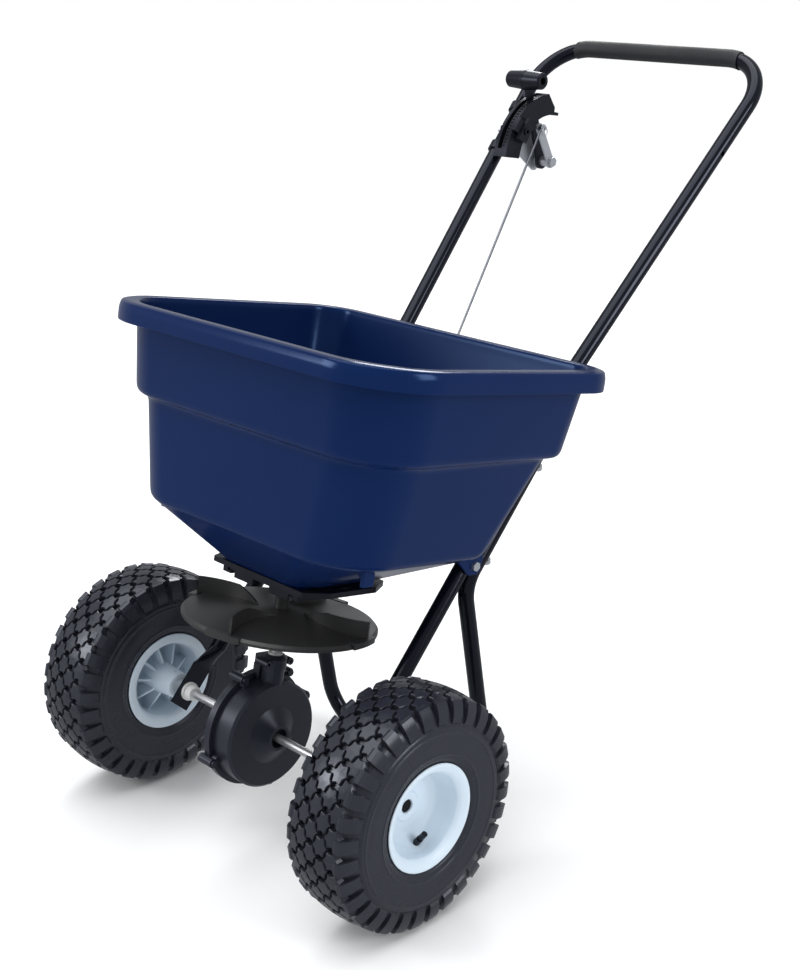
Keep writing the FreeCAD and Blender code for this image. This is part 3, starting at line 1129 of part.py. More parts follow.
def lever_grip():
    """T grip across the lever's end: two tapers, a middle ridge and an open bore."""
    half = GRIP_LEN / 2.0
    profile = [(-half, 5.0), (-half, KNOB_R - 4.0), (-half + 2.0, KNOB_R - 2.3), (-1.5, KNOB_R - 0.4),
               (-1.5, KNOB_R), (1.5, KNOB_R), (1.5, KNOB_R - 0.4), (half - 2.0, KNOB_R - 2.3),
               (half, KNOB_R - 4.0), (half, 5.0)]
    shape = revolve_x(profile)
    centre = (knob_end(-1) + knob_end(1)) * 0.5
    shape.translate(centre)
    slot = box(-LEVER_T / 2 - 0.1, LEVER_T / 2 + 0.1, -5.6, 5.6, -KNOB_R - 1.0, -KNOB_R + 5.2)
    slot.rotate(Vector(), Vector(1, 0, 0), LEVER_ANGLE - 90.0)
    slot.translate(centre)
    return placed(shape.cut(slot), HANDLE_FRAME)


def rate_stop():
    """Block that slides along the quadrant's near face and limits the opening."""
    centre = pivot()
    x0 = QUAD_X1 + 0.3
    block = arc_band(QUAD_IN_R + 3.5, QUAD_OUT_R - 8.0, STOP_AT - 11, STOP_AT + 11, x0, x0 + 9.0, centre)
    loop_at = polar(QUAD_IN_R + 12.0, STOP_AT, x0 + 9.0, centre)
    loop = Part.makeCylinder(5.0, 2.5, loop_at - Vector(0.5, 0, 0), Vector(1, 0, 0))
    hook_in = arc_band(QUAD_OUT_R + 0.4, QUAD_OUT_R + 2.6, STOP_AT - 6, STOP_AT + 6,
                       QUAD_X1 - 2.4, x0 + 6.0, centre)
    arm = arc_band(QUAD_OUT_R - 8.5, QUAD_OUT_R + 2.6, STOP_AT - 6, STOP_AT + 6, x0, x0 + 6.0, centre)
    shape = block.fuse([loop, hook_in, arm])
    shape = shape.cut(Part.makeCylinder(2.6, 20.0, loop_at - Vector(4.0, 0, 0), Vector(1, 0, 0)))
    return placed(shape, HANDLE_FRAME)


def control_rod():
    """Steel rod: an eye on the lever's pin, a long shank and a hook in the crank's slot."""
    upper, lower = rod_ends()
    reach = Vector(ROD_EYE_T / 2.0, 0, 0)
    turn = lower + Vector(CRANK_T / 2.0 + 1.6 + ROD_R, 0, 0)
    path = tube_path([upper, turn, lower - Vector(CRANK_T / 2.0 + 3.4, 0, 0)], [2.0 * ROD_R])
    ring = Part.Wire(Part.makeCircle(ROD_R, upper, turn - upper))
    shank = path.makePipeShell([ring], True, False, 1)
    eye = cylinder(ROD_PIN_R + 2.2, upper - reach, upper + reach)
    return shank.fuse(eye).cut(cylinder(ROD_PIN_R + RUN, upper - reach * 3, upper + reach * 3))


def rod_pin():
    """Headed pin through the lever's link and the rod's eye."""
    upper, _ = rod_ends()
    under = upper - Vector(ROD_EYE_T / 2.0 + 0.3 + LINK_T, 0, 0)
    end = upper + Vector(ROD_EYE_T / 2.0 + 5.4, 0, 0)
    shank = cylinder(ROD_PIN_R - 0.05, under - Vector(0.5, 0, 0), end)
    head = cylinder(3.6, under - Vector(1.6, 0, 0), under - Vector(0.1, 0, 0))
    cross = upper + Vector(ROD_EYE_T / 2.0 + 3.4, 0, 0)
    return shank.fuse(head).cut(cylinder(1.1, cross - Vector(0, 4, 0), cross + Vector(0, 4, 0)))


def rod_clips():
    """Washer and ring cotter on the rod's pin."""
    upper, _ = rod_ends()
    seat = upper + Vector(ROD_EYE_T / 2.0 + 0.3, 0, 0)
    washer = cylinder(5.0, seat, seat + Vector(1.0, 0, 0)).cut(
        cylinder(ROD_PIN_R + 0.1, seat - Vector(1, 0, 0), seat + Vector(2, 0, 0)))
    cross = upper + Vector(ROD_EYE_T / 2.0 + 3.4, 0, 0)
    ring = Part.makeTorus(RING_R, 0.55, cross - Vector(0, 0, RING_R), Vector(1, 0, 0))
    return [washer, ring]


def rod_keeper():
    """Push-on keeper on the rod's hook, beyond the crank."""
    _, lower = rod_ends()
    seat = lower - Vector(CRANK_T / 2.0 + 0.7, 0, 0)
    keeper = cylinder(4.4, seat, seat - Vector(1.2, 0, 0))
    return keeper.cut(cylinder(ROD_R + RUN, seat + Vector(1, 0, 0), seat - Vector(3, 0, 0)))


# ---------------------------------------------------------------- build
def build_frame():
    """Write the frame's nodes."""
    left, right = both(frame_tube())
    save("frame_tube_left", left)
    save("frame_tube_right", right)
    save("stand_tube", stand_tube())
    save("handle_tube", handle_tube())
    save("grip_sleeve", grip_sleeve())
    bolts, nuts = frame_bolts()
    save("frame_bolts", *bolts)
    save("frame_nuts", *nuts)
    bolts, nuts = joint_bolts()
    save("handle_bolts", *bolts)
    save("handle_nuts", *nuts)
    save("axle_bushings", *axle_bushings())


def build_hopper():
    """Write the hopper, its fixings and the gate's nodes."""
    save("hopper", hopper())
    bolts, nuts = lug_bolts()
    save("lug_bolts", *bolts)
    save("lug_nuts", *nuts)
    save("outlet_plate", outlet_plate())
    save("gate_plate", gate_plate())
    save("gate_crank", gate_crank())
    bracket, pin = crank_bracket()
    save("crank_bracket", bracket)
    save("crank_pin", pin)


def build_drive():
    """Write the gearbox, the spinner and the wheels."""
    save("gearbox_near", gearbox_near())
    save("gearbox_far", gearbox_far())
    save("gearbox_screws", *gearbox_screws())
    save("bearing_cap", bearing_cap())
    save("shaft_bush", shaft_bush())
    save("ring_gear", ring_gear())
    save("pinion", pinion())
    save("spinner_shaft", spinner_shaft())
    save("shaft_pins", *shaft_pins())
    save("agitator", agitator())
    save("spinner", spinner())
    save("axle", axle())
    save("axle_pins", *axle_pins())
    save("axle_washers", *axle_washers())
    save("axle_caps", *axle_caps())
    mirror = (Vector(), Vector(1, 0, 0))
    save("rim_free", wheel_rim(AXLE_R + RUN, False))
    save("rim_driven", wheel_rim(AXLE_R + RUN, True).mirror(*mirror))
    save("tyre_free", tyre())
    save("tyre_driven", tyre().mirror(*mirror))
    save("valve_free", valve_stem())
    save("valve_driven", valve_stem().mirror(*mirror))


def build_control():
    """Write the flow control's nodes."""
    save("quadrant", quadrant())
    save("pivot_bracket", pivot_bracket())
    screw, fixing = quadrant_bolt()
    save("quadrant_bolt", screw)
    save("quadrant_nut", fixing)
    screw, fixing = pivot_bolt()
    save("pivot_bolt", screw)
    save("pivot_nut", fixing)
    save("lever_yoke", lever_yoke())
    save("lever_arm", lever_arm())
    save("lever_grip", lever_grip())
    save("rate_stop", rate_stop())
    save("control_rod", control_rod())
    save("rod_pin", rod_pin())
    save("rod_clips", *rod_clips())
    save("rod_keeper", rod_keeper())


build_frame()
build_hopper()
build_drive()
build_control()
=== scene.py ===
"""Looks of a push broadcast spreader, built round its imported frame.

Metres, in the frame's own axes: +X is the free wheel's side, -Y is the hopper's front,
+Z is up.  Lengths are written in millimetres times MM.
"""

import logging
import math
from dataclasses import dataclass, field
from enum import Enum
from typing import Optional, Sequence

import bpy
import numpy as np
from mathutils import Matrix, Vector

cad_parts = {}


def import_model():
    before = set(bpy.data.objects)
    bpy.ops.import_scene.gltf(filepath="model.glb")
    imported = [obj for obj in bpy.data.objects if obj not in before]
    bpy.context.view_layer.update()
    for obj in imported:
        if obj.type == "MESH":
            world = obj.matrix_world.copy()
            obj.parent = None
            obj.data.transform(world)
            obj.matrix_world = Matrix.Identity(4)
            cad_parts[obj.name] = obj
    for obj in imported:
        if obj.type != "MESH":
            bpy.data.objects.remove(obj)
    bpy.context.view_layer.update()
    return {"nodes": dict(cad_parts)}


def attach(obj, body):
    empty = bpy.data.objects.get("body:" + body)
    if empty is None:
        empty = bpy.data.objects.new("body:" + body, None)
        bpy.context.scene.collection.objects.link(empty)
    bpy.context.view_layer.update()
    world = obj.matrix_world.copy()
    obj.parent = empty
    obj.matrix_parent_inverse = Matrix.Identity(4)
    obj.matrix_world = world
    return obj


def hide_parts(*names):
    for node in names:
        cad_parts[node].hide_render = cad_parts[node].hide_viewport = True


LOG = logging.getLogger("spreader")
MM = 0.001
AXLE_HEIGHT = 133.0 * MM
FOOTPRINT_SHIFT = -285.5416 * MM
HOPPER_TILT = math.radians(11.3)


class Side(Enum):
    """The wheel's side of the machine and the rigid body it turns with."""

    FREE = ("free", 1.0, "free_wheel")
    DRIVEN = ("driven", -1.0, "axle")

    def __init__(self, label: str, sign: float, body: str) -> None:
        """Keep the node names' ending, the sign of x and the body's name."""
        self.label = label
        self.sign = sign
        self.body = body


def wheel_place(side: Side, mid_plane: float) -> np.ndarray:
    """Middle of a wheel on the axle's line, in metres."""
    return np.array([side.sign * mid_plane * MM, FOOTPRINT_SHIFT, AXLE_HEIGHT])


class Grain(Enum):
    """Pattern that carries a finish's fine relief."""

    NOISE = "noise"
    CELLS = "cells"
    BRUSHED = "brushed"


# ---------------------------------------------------------------- finishes
@dataclass(frozen=True)
class Finish:
    """A procedural surface: two tones mixed by soft noise, varied gloss and a fine relief."""

    name: str
    tone: tuple[float, float, float]
    tone_alt: tuple[float, float, float]
    gloss_low: float
    gloss_high: float
    metallic: float = 0.0
    specular: float = 0.5
    sheen_tone: tuple[float, float, float] = (1.0, 1.0, 1.0)
    patch_scale: float = 14.0
    grain: Grain = Grain.NOISE
    grain_scale: float = 900.0
    grain_height: float = 0.00003
    grain_strength: float = 0.25

    def material(self) -> bpy.types.Material:
        """Build the node material, or return the one already built.

        Returns:
            The Blender material of this finish.
        """
        found = bpy.data.materials.get(self.name)
        if found is not None:
            return found
        made = bpy.data.materials.new(self.name)
        made.use_nodes = True
        tree = made.node_tree
        shader = tree.nodes["Principled BSDF"]
        coords = tree.nodes.new("ShaderNodeTexCoord")
        patches = tree.nodes.new("ShaderNodeTexNoise")
        patches.inputs["Scale"].default_value = self.patch_scale
        patches.inputs["Detail"].default_value = 5.0
        tree.links.new(coords.outputs["Object"], patches.inputs["Vector"])
        tones = tree.nodes.new("ShaderNodeMix")
        tones.data_type = "RGBA"
        tones.inputs["A"].default_value = (*self.tone, 1.0)
        tones.inputs["B"].default_value = (*self.tone_alt, 1.0)
        tree.links.new(patches.outputs["Fac"], tones.inputs["Factor"])
        tree.links.new(tones.outputs["Result"], shader.inputs["Base Color"])
        gloss = tree.nodes.new("ShaderNodeMapRange")
        gloss.inputs["From Min"].default_value = 0.3
        gloss.inputs["From Max"].default_value = 0.7
        gloss.inputs["To Min"].default_value = self.gloss_low
        gloss.inputs["To Max"].default_value = self.gloss_high
        tree.links.new(patches.outputs["Fac"], gloss.inputs["Value"])
        tree.links.new(gloss.outputs["Result"], shader.inputs["Roughness"])
        shader.inputs["Metallic"].default_value = self.metallic
        shader.inputs["Specular IOR Level"].default_value = self.specular
        shader.inputs["Specular Tint"].default_value = (*self.sheen_tone, 1.0)
        bump = tree.nodes.new("ShaderNodeBump")
        bump.inputs["Strength"].default_value = self.grain_strength
        bump.inputs["Distance"].default_value = self.grain_height
        height = self._relief(tree, coords.outputs["Object"])
        tree.links.new(height, bump.inputs["Height"])
        tree.links.new(bump.outputs["Normal"], shader.inputs["Normal"])
        return made

    def _relief(self, tree: bpy.types.NodeTree, where: bpy.types.NodeSocket) -> bpy.types.NodeSocket:
        """Add the relief's pattern.

        Args:
            tree: the material's node tree.
            where: the coordinates the pattern reads.

        Returns:
            The socket that gives the relief's height.
        """
        if self.grain is Grain.CELLS:
            cells = tree.nodes.new("ShaderNodeTexVoronoi")
            cells.inputs["Scale"].default_value = self.grain_scale
            tree.links.new(where, cells.inputs["Vector"])
            return cells.outputs["Distance"]
        noise = tree.nodes.new("ShaderNodeTexNoise")
        noise.inputs["Scale"].default_value = self.grain_scale
        noise.inputs["Detail"].default_value = 3.0
        if self.grain is Grain.BRUSHED:
            stretch = tree.nodes.new("ShaderNodeMapping")
            stretch.inputs["Scale"].default_value = (0.05, 1.0, 1.0)
            tree.links.new(where, stretch.inputs["Vector"])
            tree.links.new(stretch.outputs["Vector"], noise.inputs["Vector"])
        else:
            tree.links.new(where, noise.inputs["Vector"])
        return noise.outputs["Fac"]

    def dress(self, *pieces: bpy.types.Object) -> None:
        """Give this finish, alone, to each piece."""
        for piece in pieces:
            piece.data.materials.clear()
            piece.data.materials.append(self.material())


HOPPER_NAVY = Finish("hopper_navy", (0.0036, 0.0130, 0.062), (0.0043, 0.0156, 0.073), 0.16, 0.24,
                     specular=0.28, sheen_tone=(0.30, 0.52, 1.0), patch_scale=6.0, grain_scale=420.0,
                     grain_height=0.00003, grain_strength=0.08)
TUBE_BLACK = Finish("tube_black", (0.0030, 0.0033, 0.0060), (0.0048, 0.0052, 0.0086), 0.12, 0.18,
                    specular=0.3, sheen_tone=(0.75, 0.80, 1.0), grain_scale=260.0,
                    grain_height=0.00004, grain_strength=0.1)
FOAM_BLACK = Finish("foam_black", (0.010, 0.011, 0.014), (0.017, 0.018, 0.022), 0.55, 0.75,
                    grain=Grain.CELLS, grain_scale=1400.0, grain_height=0.0002, grain_strength=0.35)
MOULDED_BLACK = Finish("moulded_black", (0.0055, 0.0058, 0.0085), (0.009, 0.0095, 0.0135), 0.26, 0.38,
                       specular=0.3, sheen_tone=(0.75, 0.80, 1.0),
                       grain_scale=1500.0, grain_height=0.00005, grain_strength=0.25)
SPINNER_BLACK = Finish("spinner_black", (0.0055, 0.006, 0.0085), (0.010, 0.0105, 0.014), 0.22, 0.34,
                       specular=0.35, sheen_tone=(0.8, 0.85, 1.0),
                       grain_scale=900.0, grain_height=0.00005, grain_strength=0.25)
CASE_BLACK = Finish("case_black", (0.012, 0.013, 0.020), (0.018, 0.019, 0.028), 0.28, 0.40,
                    sheen_tone=(0.8, 0.85, 1.0),
                    grain_scale=1200.0, grain_height=0.00008, grain_strength=0.35)
TYRE_BLACK = Finish("tyre_black", (0.014, 0.0145, 0.021), (0.024, 0.025, 0.034), 0.20, 0.36,
                    sheen_tone=(0.85, 0.9, 1.0),
                    patch_scale=22.0, grain_scale=1100.0, grain_height=0.0001, grain_strength=0.35)
SOCKET_BLACK = Finish("socket_black", (0.004, 0.004, 0.005), (0.006, 0.006, 0.007), 0.6, 0.7, specular=0.2)
RIM_WHITE = Finish("rim_white", (0.60, 0.70, 0.79), (0.64, 0.74, 0.83), 0.30, 0.40,
                   patch_scale=18.0, grain_scale=600.0, grain_height=0.00004, grain_strength=0.15)
NYLON_WHITE = Finish("nylon_white", (0.70, 0.71, 0.70), (0.78, 0.79, 0.78), 0.35, 0.5)
ZINC = Finish("zinc", (0.74, 0.80, 0.88), (0.86, 0.91, 0.97), 0.20, 0.34, metallic=1.0,
              patch_scale=60.0, grain_scale=1500.0, grain_height=0.00004, grain_strength=0.3)
STEEL = Finish("axle_steel", (0.50, 0.51, 0.54), (0.62, 0.63, 0.66), 0.16, 0.28, metallic=1.0,
               patch_scale=40.0, grain=Grain.BRUSHED, grain_scale=2400.0, grain_height=0.00002,
               grain_strength=0.2)
ROD_STEEL = Finish("rod_steel", (0.15, 0.16, 0.18), (0.24, 0.25, 0.28), 0.24, 0.38, metallic=1.0,
                   patch_scale=40.0, grain_scale=2400.0, grain_height=0.00002, grain_strength=0.2)
GEAR_NYLON = Finish("gear_nylon", (0.60, 0.59, 0.55), (0.68, 0.67, 0.63), 0.40, 0.55)
GEAR_STEEL = Finish("gear_steel", (0.42, 0.42, 0.44), (0.52, 0.52, 0.54), 0.30, 0.45, metallic=1.0)
FLOOR_PALE = Finish("floor_pale", (0.92, 0.92, 0.92), (0.93, 0.93, 0.93), 0.6, 0.7, specular=0.1,
                    patch_scale=2.0, grain_scale=60.0, grain_strength=0.02)

NODE_FINISHES: dict[Finish, tuple[str, ...]] = {
    TUBE_BLACK: ("frame_tube_left", "frame_tube_right", "stand_tube", "handle_tube"),
    FOAM_BLACK: ("grip_sleeve",),
    ZINC: ("frame_bolts", "frame_nuts", "handle_bolts", "handle_nuts", "lug_bolts", "lug_nuts",
           "gate_crank", "crank_bracket", "crank_pin", "shaft_pins", "axle_pins", "axle_washers",
           "pivot_bracket", "quadrant_bolt", "quadrant_nut",
           "pivot_bolt", "pivot_nut", "lever_yoke", "rod_pin", "rod_clips", "rod_keeper"),
    NYLON_WHITE: ("axle_bushings", "shaft_bush"),
    HOPPER_NAVY: ("hopper",),
    MOULDED_BLACK: ("outlet_plate", "gate_plate", "quadrant", "lever_arm", "lever_grip", "rate_stop",
                    "valve_free", "valve_driven"),
    CASE_BLACK: ("gearbox_near", "gearbox_far", "bearing_cap", "gearbox_screws"),
    SOCKET_BLACK: ("axle_caps",),
    GEAR_NYLON: ("ring_gear",),
    GEAR_STEEL: ("pinion",),
    STEEL: ("spinner_shaft", "agitator", "axle"),
    ROD_STEEL: ("control_rod",),
    SPINNER_BLACK: ("spinner",),
    RIM_WHITE: ("rim_free", "rim_driven"),
    TYRE_BLACK: ("tyre_free", "tyre_driven"),
}


# ---------------------------------------------------------------- surfaces
def piece_from(name: str, points: np.ndarray, faces: list[tuple[int, ...]],
               smooth: Optional[float] = 40.0) -> bpy.types.Object:
    """Make a mesh object at the origin.

    Args:
        name: the piece's name.
        points: array of vertices, shape (n, 3).
        faces: vertex numbers of each face.
        smooth: largest angle, in degrees, shaded smooth, or None for flat faces.

    Returns:
        The new object, linked to the scene.
    """
    mesh = bpy.data.meshes.new(name)
    mesh.from_pydata(points.reshape(-1, 3).tolist(), [], faces)
    mesh.validate()
    mesh.update()
    piece = bpy.data.objects.new(name, mesh)
    bpy.context.scene.collection.objects.link(piece)
    if smooth is not None:
        mesh.shade_smooth()
        mesh.set_sharp_from_angle(angle=math.radians(smooth))
    return piece


def grid_faces(rows: int, columns: int, close_rows: bool, close_columns: bool,
               start: int = 0) -> list[tuple[int, ...]]:
    """Quads of a grid: each cell joins a vertex to its neighbours one row and one column on.

    Args:
        rows: number of rows of vertices.
        columns: number of vertices in a row.
        close_rows: whether the last row joins the first.
        close_columns: whether each row is a ring.
        start: number of the grid's first vertex.

    Returns:
        The quads' vertex numbers.
    """
    last_row = rows if close_rows else rows - 1
    last_column = columns if close_columns else columns - 1
    i, j = np.meshgrid(np.arange(last_row), np.arange(last_column), indexing="ij")
    here = i * columns + j
    right = i * columns + (j + 1) % columns
    above = ((i + 1) % rows) * columns + j
    corner = ((i + 1) % rows) * columns + (j + 1) % columns
    quads = np.stack([here, right, corner, above], axis=-1).reshape(-1, 4) + start
    return [tuple(quad) for quad in quads.tolist()]


def rounded(path: np.ndarray, cut: float, steps: int = 5, closed: bool = False) -> np.ndarray:
    """Round a polyline's corners: each becomes a quadratic curve between points a cut away.

    Args:
        path: the corners, shape (n, k); any number of coordinates.
        cut: distance from each corner at which its curve starts, at most 45% of the side.
        steps: points on each curve.
        closed: whether the last corner joins the first.

    Returns:
        The rounded polyline.
    """
    before = np.roll(path, 1, axis=0)
    after = np.roll(path, -1, axis=0)
    back, ahead = before - path, after - path
    size_back = np.maximum(np.linalg.norm(back, axis=1, keepdims=True), 1e-9)
    size_ahead = np.maximum(np.linalg.norm(ahead, axis=1, keepdims=True), 1e-9)
    start = path + back / size_back * np.minimum(cut, 0.45 * size_back)
    end = path + ahead / size_ahead * np.minimum(cut, 0.45 * size_ahead)
    t = np.linspace(0.0, 1.0, steps)[None, :, None]
    curve = (1 - t) ** 2 * start[:, None] + 2 * t * (1 - t) * path[:, None] + t ** 2 * end[:, None]
    if closed:
        return curve.reshape(-1, path.shape[1])
    return np.concatenate([path[:1], curve[1:-1].reshape(-1, path.shape[1]), path[-1:]])


def turned_x(profile: np.ndarray, centre: Sequence[float], count: int = 96) -> np.ndarray:
    """Turn a profile of (x, radius) about the line along x through a centre.

    Args:
        profile: points, shape (n, 2).
        centre: point that x is measured from, on the line.
        count: points round the turn.

    Returns:
        Grid of points, shape (n, count, 3): y is r cos a and z is r sin a.
    """
    angle = np.linspace(0.0, 2.0 * np.pi, count, endpoint=False)
    x = np.repeat(profile[:, :1], count, axis=1)
    y = profile[:, 1:2] * np.cos(angle)
    z = profile[:, 1:2] * np.sin(angle)
    return np.stack([x, y, z], axis=-1) + np.array(centre)


def slab(outline: np.ndarray, push: Sequence[float]) -> tuple[np.ndarray, list[tuple[int, ...]]]:
    """Flat outline pushed along a vector into a closed prism.

    Args:
        outline: corners, shape (n, 3).
        push: the vector.

    Returns:
        The prism's points and faces, turned outwards.
    """
    push_v = np.array(push, float)
    count = len(outline)
    normal = np.cross(outline[1] - outline[0], outline[2] - outline[1])
    if float(np.dot(normal, push_v)) > 0.0:
        outline = outline[::-1]
    points = np.concatenate([outline, outline + push_v])
    ring = np.arange(count)
    nxt = (ring + 1) % count
    sides = np.stack([nxt, ring, ring + count, nxt + count], axis=-1)
    faces = [tuple(ring.tolist()), tuple((ring[::-1] + count).tolist())]
    faces += [tuple(side) for side in sides.tolist()]
    return points, faces


def merged(parts: Sequence[tuple[np.ndarray, list[tuple[int, ...]]]]) -> tuple[np.ndarray, list]:
    """Put several point and face lists into one.

    Args:
        parts: pairs of points and faces.

    Returns:
        One pair of points and faces.
    """
    points, faces, start = [], [], 0
    for some, quads in parts:
        flat = some.reshape(-1, 3)
        points.append(flat)
        faces += [tuple(v + start for v in face) for face in quads]
        start += len(flat)
    return np.concatenate(points), faces


def outward(piece: bpy.types.Object) -> bpy.types.Object:
    """Recalculate a closed piece's normals so that they point out."""
    import bmesh
    work = bmesh.new()
    work.from_mesh(piece.data)
    bmesh.ops.recalc_face_normals(work, faces=work.faces)
    work.to_mesh(piece.data)
    work.free()
    return piece


def leaning(points: np.ndarray) -> np.ndarray:
    """Points of the hopper's upright frame, in millimetres, put into the machine's frame.

    Args:
        points: array with x, y', z' in its last axis; y' and z' turn back by the hopper's tilt.

    Returns:
        The points in metres.
    """
    x, y, z = points[..., 0], points[..., 1], points[..., 2]
    c, s = math.cos(HOPPER_TILT), math.sin(HOPPER_TILT)
    return np.stack([x * MM, (y * c + z * s) * MM + FOOTPRINT_SHIFT,
                     (z * c - y * s) * MM + AXLE_HEIGHT], axis=-1)


# ---------------------------------------------------------------- hopper
@dataclass
class Hopper:
    """Moulded hopper: one skin carried from the floor up outside, over the lip and down inside."""

    wall: float = 3.5
    around: int = 40
    lip: tuple[float, ...] = (243.0, 241.0, -134.0, 250.0, 90.0, 58.0)
    upper: tuple[float, ...] = (228.0, 221.3, -116.0, 230.5, 80.0, 40.0)
    step: tuple[float, ...] = (223.0, 209.4, -108.0, 216.0, 77.0, 38.0)
    lower: tuple[float, ...] = (210.5, 191.5, -98.0, 207.0, 72.0, 34.0)
    edge: tuple[float, ...] = (187.0, 181.8, -95.0, 141.0, 70.0, 34.0)
    floor: tuple[float, ...] = (70.0, 70.0, -42.0, 76.0, 25.0, 25.0)
    levels: dict[str, float] = field(default_factory=lambda: {
        "floor": 195.0, "edge": 250.0, "lower": 363.0, "step": 366.0, "lip_low": 445.4, "lip_top": 468.5})
    outlets: tuple[float, ...] = (-30.0, 0.0, 30.0)
    outlet_size: tuple[float, float] = (18.0, 18.0)
    outlet_y: float = 38.0
    shaft_hole: float = 6.0
    lug_plane: float = 147.8
    lug_thickness: float = 5.0
    gusset_thickness: float = 4.0
    foot_length: float = 16.0

    def station(self, plan: Sequence[float], height: float, inset: float = 0.0) -> list[float]:
        """One level of the skin: plan moved in by an inset, at a height."""
        front, rear, y_front, y_rear, r_front, r_rear = plan
        return [height, front - inset, rear - inset, y_front + inset, y_rear - inset,
                r_front - inset, r_rear - inset]

    def outlines(self, stations: np.ndarray) -> np.ndarray:
        """Rounded trapezium at each station: four quarter arcs joined by straight sides.

        Args:
            stations: rows of height, half widths, y limits and corner radii.

        Returns:
            Points of shape (stations, 4 * around, 3) in the hopper's frame.
        """
        z, front, rear, y0, y1, rf, rr = (column[:, None] for column in stations.T)
        t = np.linspace(0.0, np.pi / 2.0, self.around)[None, :]
        slope = np.arctan2(rear - front, y1 - y0)
        rings = []
        corners = ((1, y0, front, rf, -np.pi / 2), (1, y1, rear, rr, 0.0),
                   (-1, y1, rear, rr, np.pi / 2), (-1, y0, front, rf, np.pi))
        for sign, y_edge, half, radius, turn in corners:
            inner_y = y_edge + np.where(y_edge == y0, radius, -radius)
            inner_x = sign * (half - radius + (inner_y - y_edge) * np.tan(slope))
            angle = t + turn
            rings.append(np.stack([inner_x + radius * np.cos(angle), inner_y + radius * np.sin(angle),
                                   np.broadcast_to(z, (len(z), self.around))], axis=-1))
        return np.concatenate(rings, axis=1)

    def skin(self) -> tuple[np.ndarray, list]:
        """Outer wall, lip and inner wall as one closed band.

        Returns:
            Points and faces in the machine's frame.
        """
        level, wall = self.levels, self.wall
        outer = np.array([
            self.station(self.floor, level["floor"]),
            self.station(self.edge, level["edge"]),
            self.station(self.lower, level["lower"] - 1.0),
            self.station(self.step, level["step"] + 1.0),
            self.station(self.upper, level["lip_top"] - 4.5)])
        turnover = np.array([
            self.station(self.upper, level["lip_top"] - 4.4),
            self.station(self.lip, level["lip_top"] - 5.5, 6.5),
            self.station(self.lip, level["lip_top"] - 12.0, wall),
            self.station(self.lip, level["lip_low"], wall),
            self.station(self.lip, level["lip_low"], 0.3),
            self.station(self.lip, level["lip_low"] + 1.5, 0.0),
            self.station(self.lip, level["lip_top"] - 9.0, 0.0),
            self.station(self.lip, level["lip_top"] - 1.5, 2.0),
            self.station(self.lip, level["lip_top"], 8.0),
            self.station(self.upper, level["lip_top"] - 0.4, wall - 1.0),
            self.station(self.upper, level["lip_top"] - 6.0, wall)])
        inner = np.array([
            self.station(self.upper, level["lip_top"] - 8.0, wall),
            self.station(self.step, level["step"] + wall, wall),
            self.station(self.lower, level["lower"], wall),
            self.station(self.edge, level["edge"] + 2.0, wall),
            self.station(self.floor, level["floor"] + wall, wall)])
        band = np.concatenate([self.dense(rounded(outer, 9.0, 6)), rounded(turnover, 3.2, 4),
                               self.dense(rounded(inner, 9.0, 6))])
        grid = self.outlines(band)
        return leaning(grid), grid_faces(len(band), grid.shape[1], False, True)

    def dense(self, stations: np.ndarray) -> np.ndarray:
        """Split each gap between stations in two, so that long walls shade evenly."""
        middle = (stations[1:] + stations[:-1]) / 2.0
        mixed = np.empty((len(stations) + len(middle), stations.shape[1]))
        mixed[0::2] = stations
        mixed[1::2] = middle
        return mixed

    def floor_plate(self) -> tuple[np.ndarray, list]:
        """Floor as a grid of cells, with the outlets' and the shaft's cells left open.

        Returns:
            Points and faces in the machine's frame.
        """
        half_w, half_l = self.outlet_size[0] / 2.0, self.outlet_size[1] / 2.0
        hole = self.shaft_hole
        xs = sorted({-69.0, 69.0, -hole, hole, *(x - half_w for x in self.outlets),
                     *(x + half_w for x in self.outlets)})
        ys = [-41.0, -hole, hole, self.outlet_y - half_l, self.outlet_y + half_l, 75.0]
        x, y = np.meshgrid(xs, ys, indexing="ij")
        top = np.stack([x, y, np.full_like(x, self.levels["floor"] + self.wall)], axis=-1)
        low = top - np.array([0.0, 0.0, self.wall])
        rows, columns = x.shape
        mid_x = (x[1:, 1:] + x[:-1, :-1]) / 2.0
        mid_y = (y[1:, 1:] + y[:-1, :-1]) / 2.0
        over = np.min([np.abs(mid_x - at) for at in self.outlets], axis=0) < half_w
        open_cell = over & (np.abs(mid_y - self.outlet_y) < half_l)
        open_cell |= (np.abs(mid_x) < hole) & (np.abs(mid_y) < hole)
        solid = ~open_cell
        faces: list[tuple[int, ...]] = []
        count = rows * columns
        for i, j in np.argwhere(solid).tolist():
            a, b = i * columns + j, (i + 1) * columns + j
            faces.append((a, b, b + 1, a + 1))
            faces.append((a + count, a + 1 + count, b + 1 + count, b + count))
        for i, j in np.argwhere(open_cell).tolist():
            a, b = i * columns + j, (i + 1) * columns + j
            loop = [a, b, b + 1, a + 1]
            for k, (di, dj) in enumerate(((0, -1), (1, 0), (0, 1), (-1, 0))):
                if solid[i + di, j + dj]:
                    p, q = loop[k], loop[(k + 1) % 4]
                    faces.append((q, p, p + count, q + count))
        return leaning(np.concatenate([top.reshape(-1, 3), low.reshape(-1, 3)])), faces

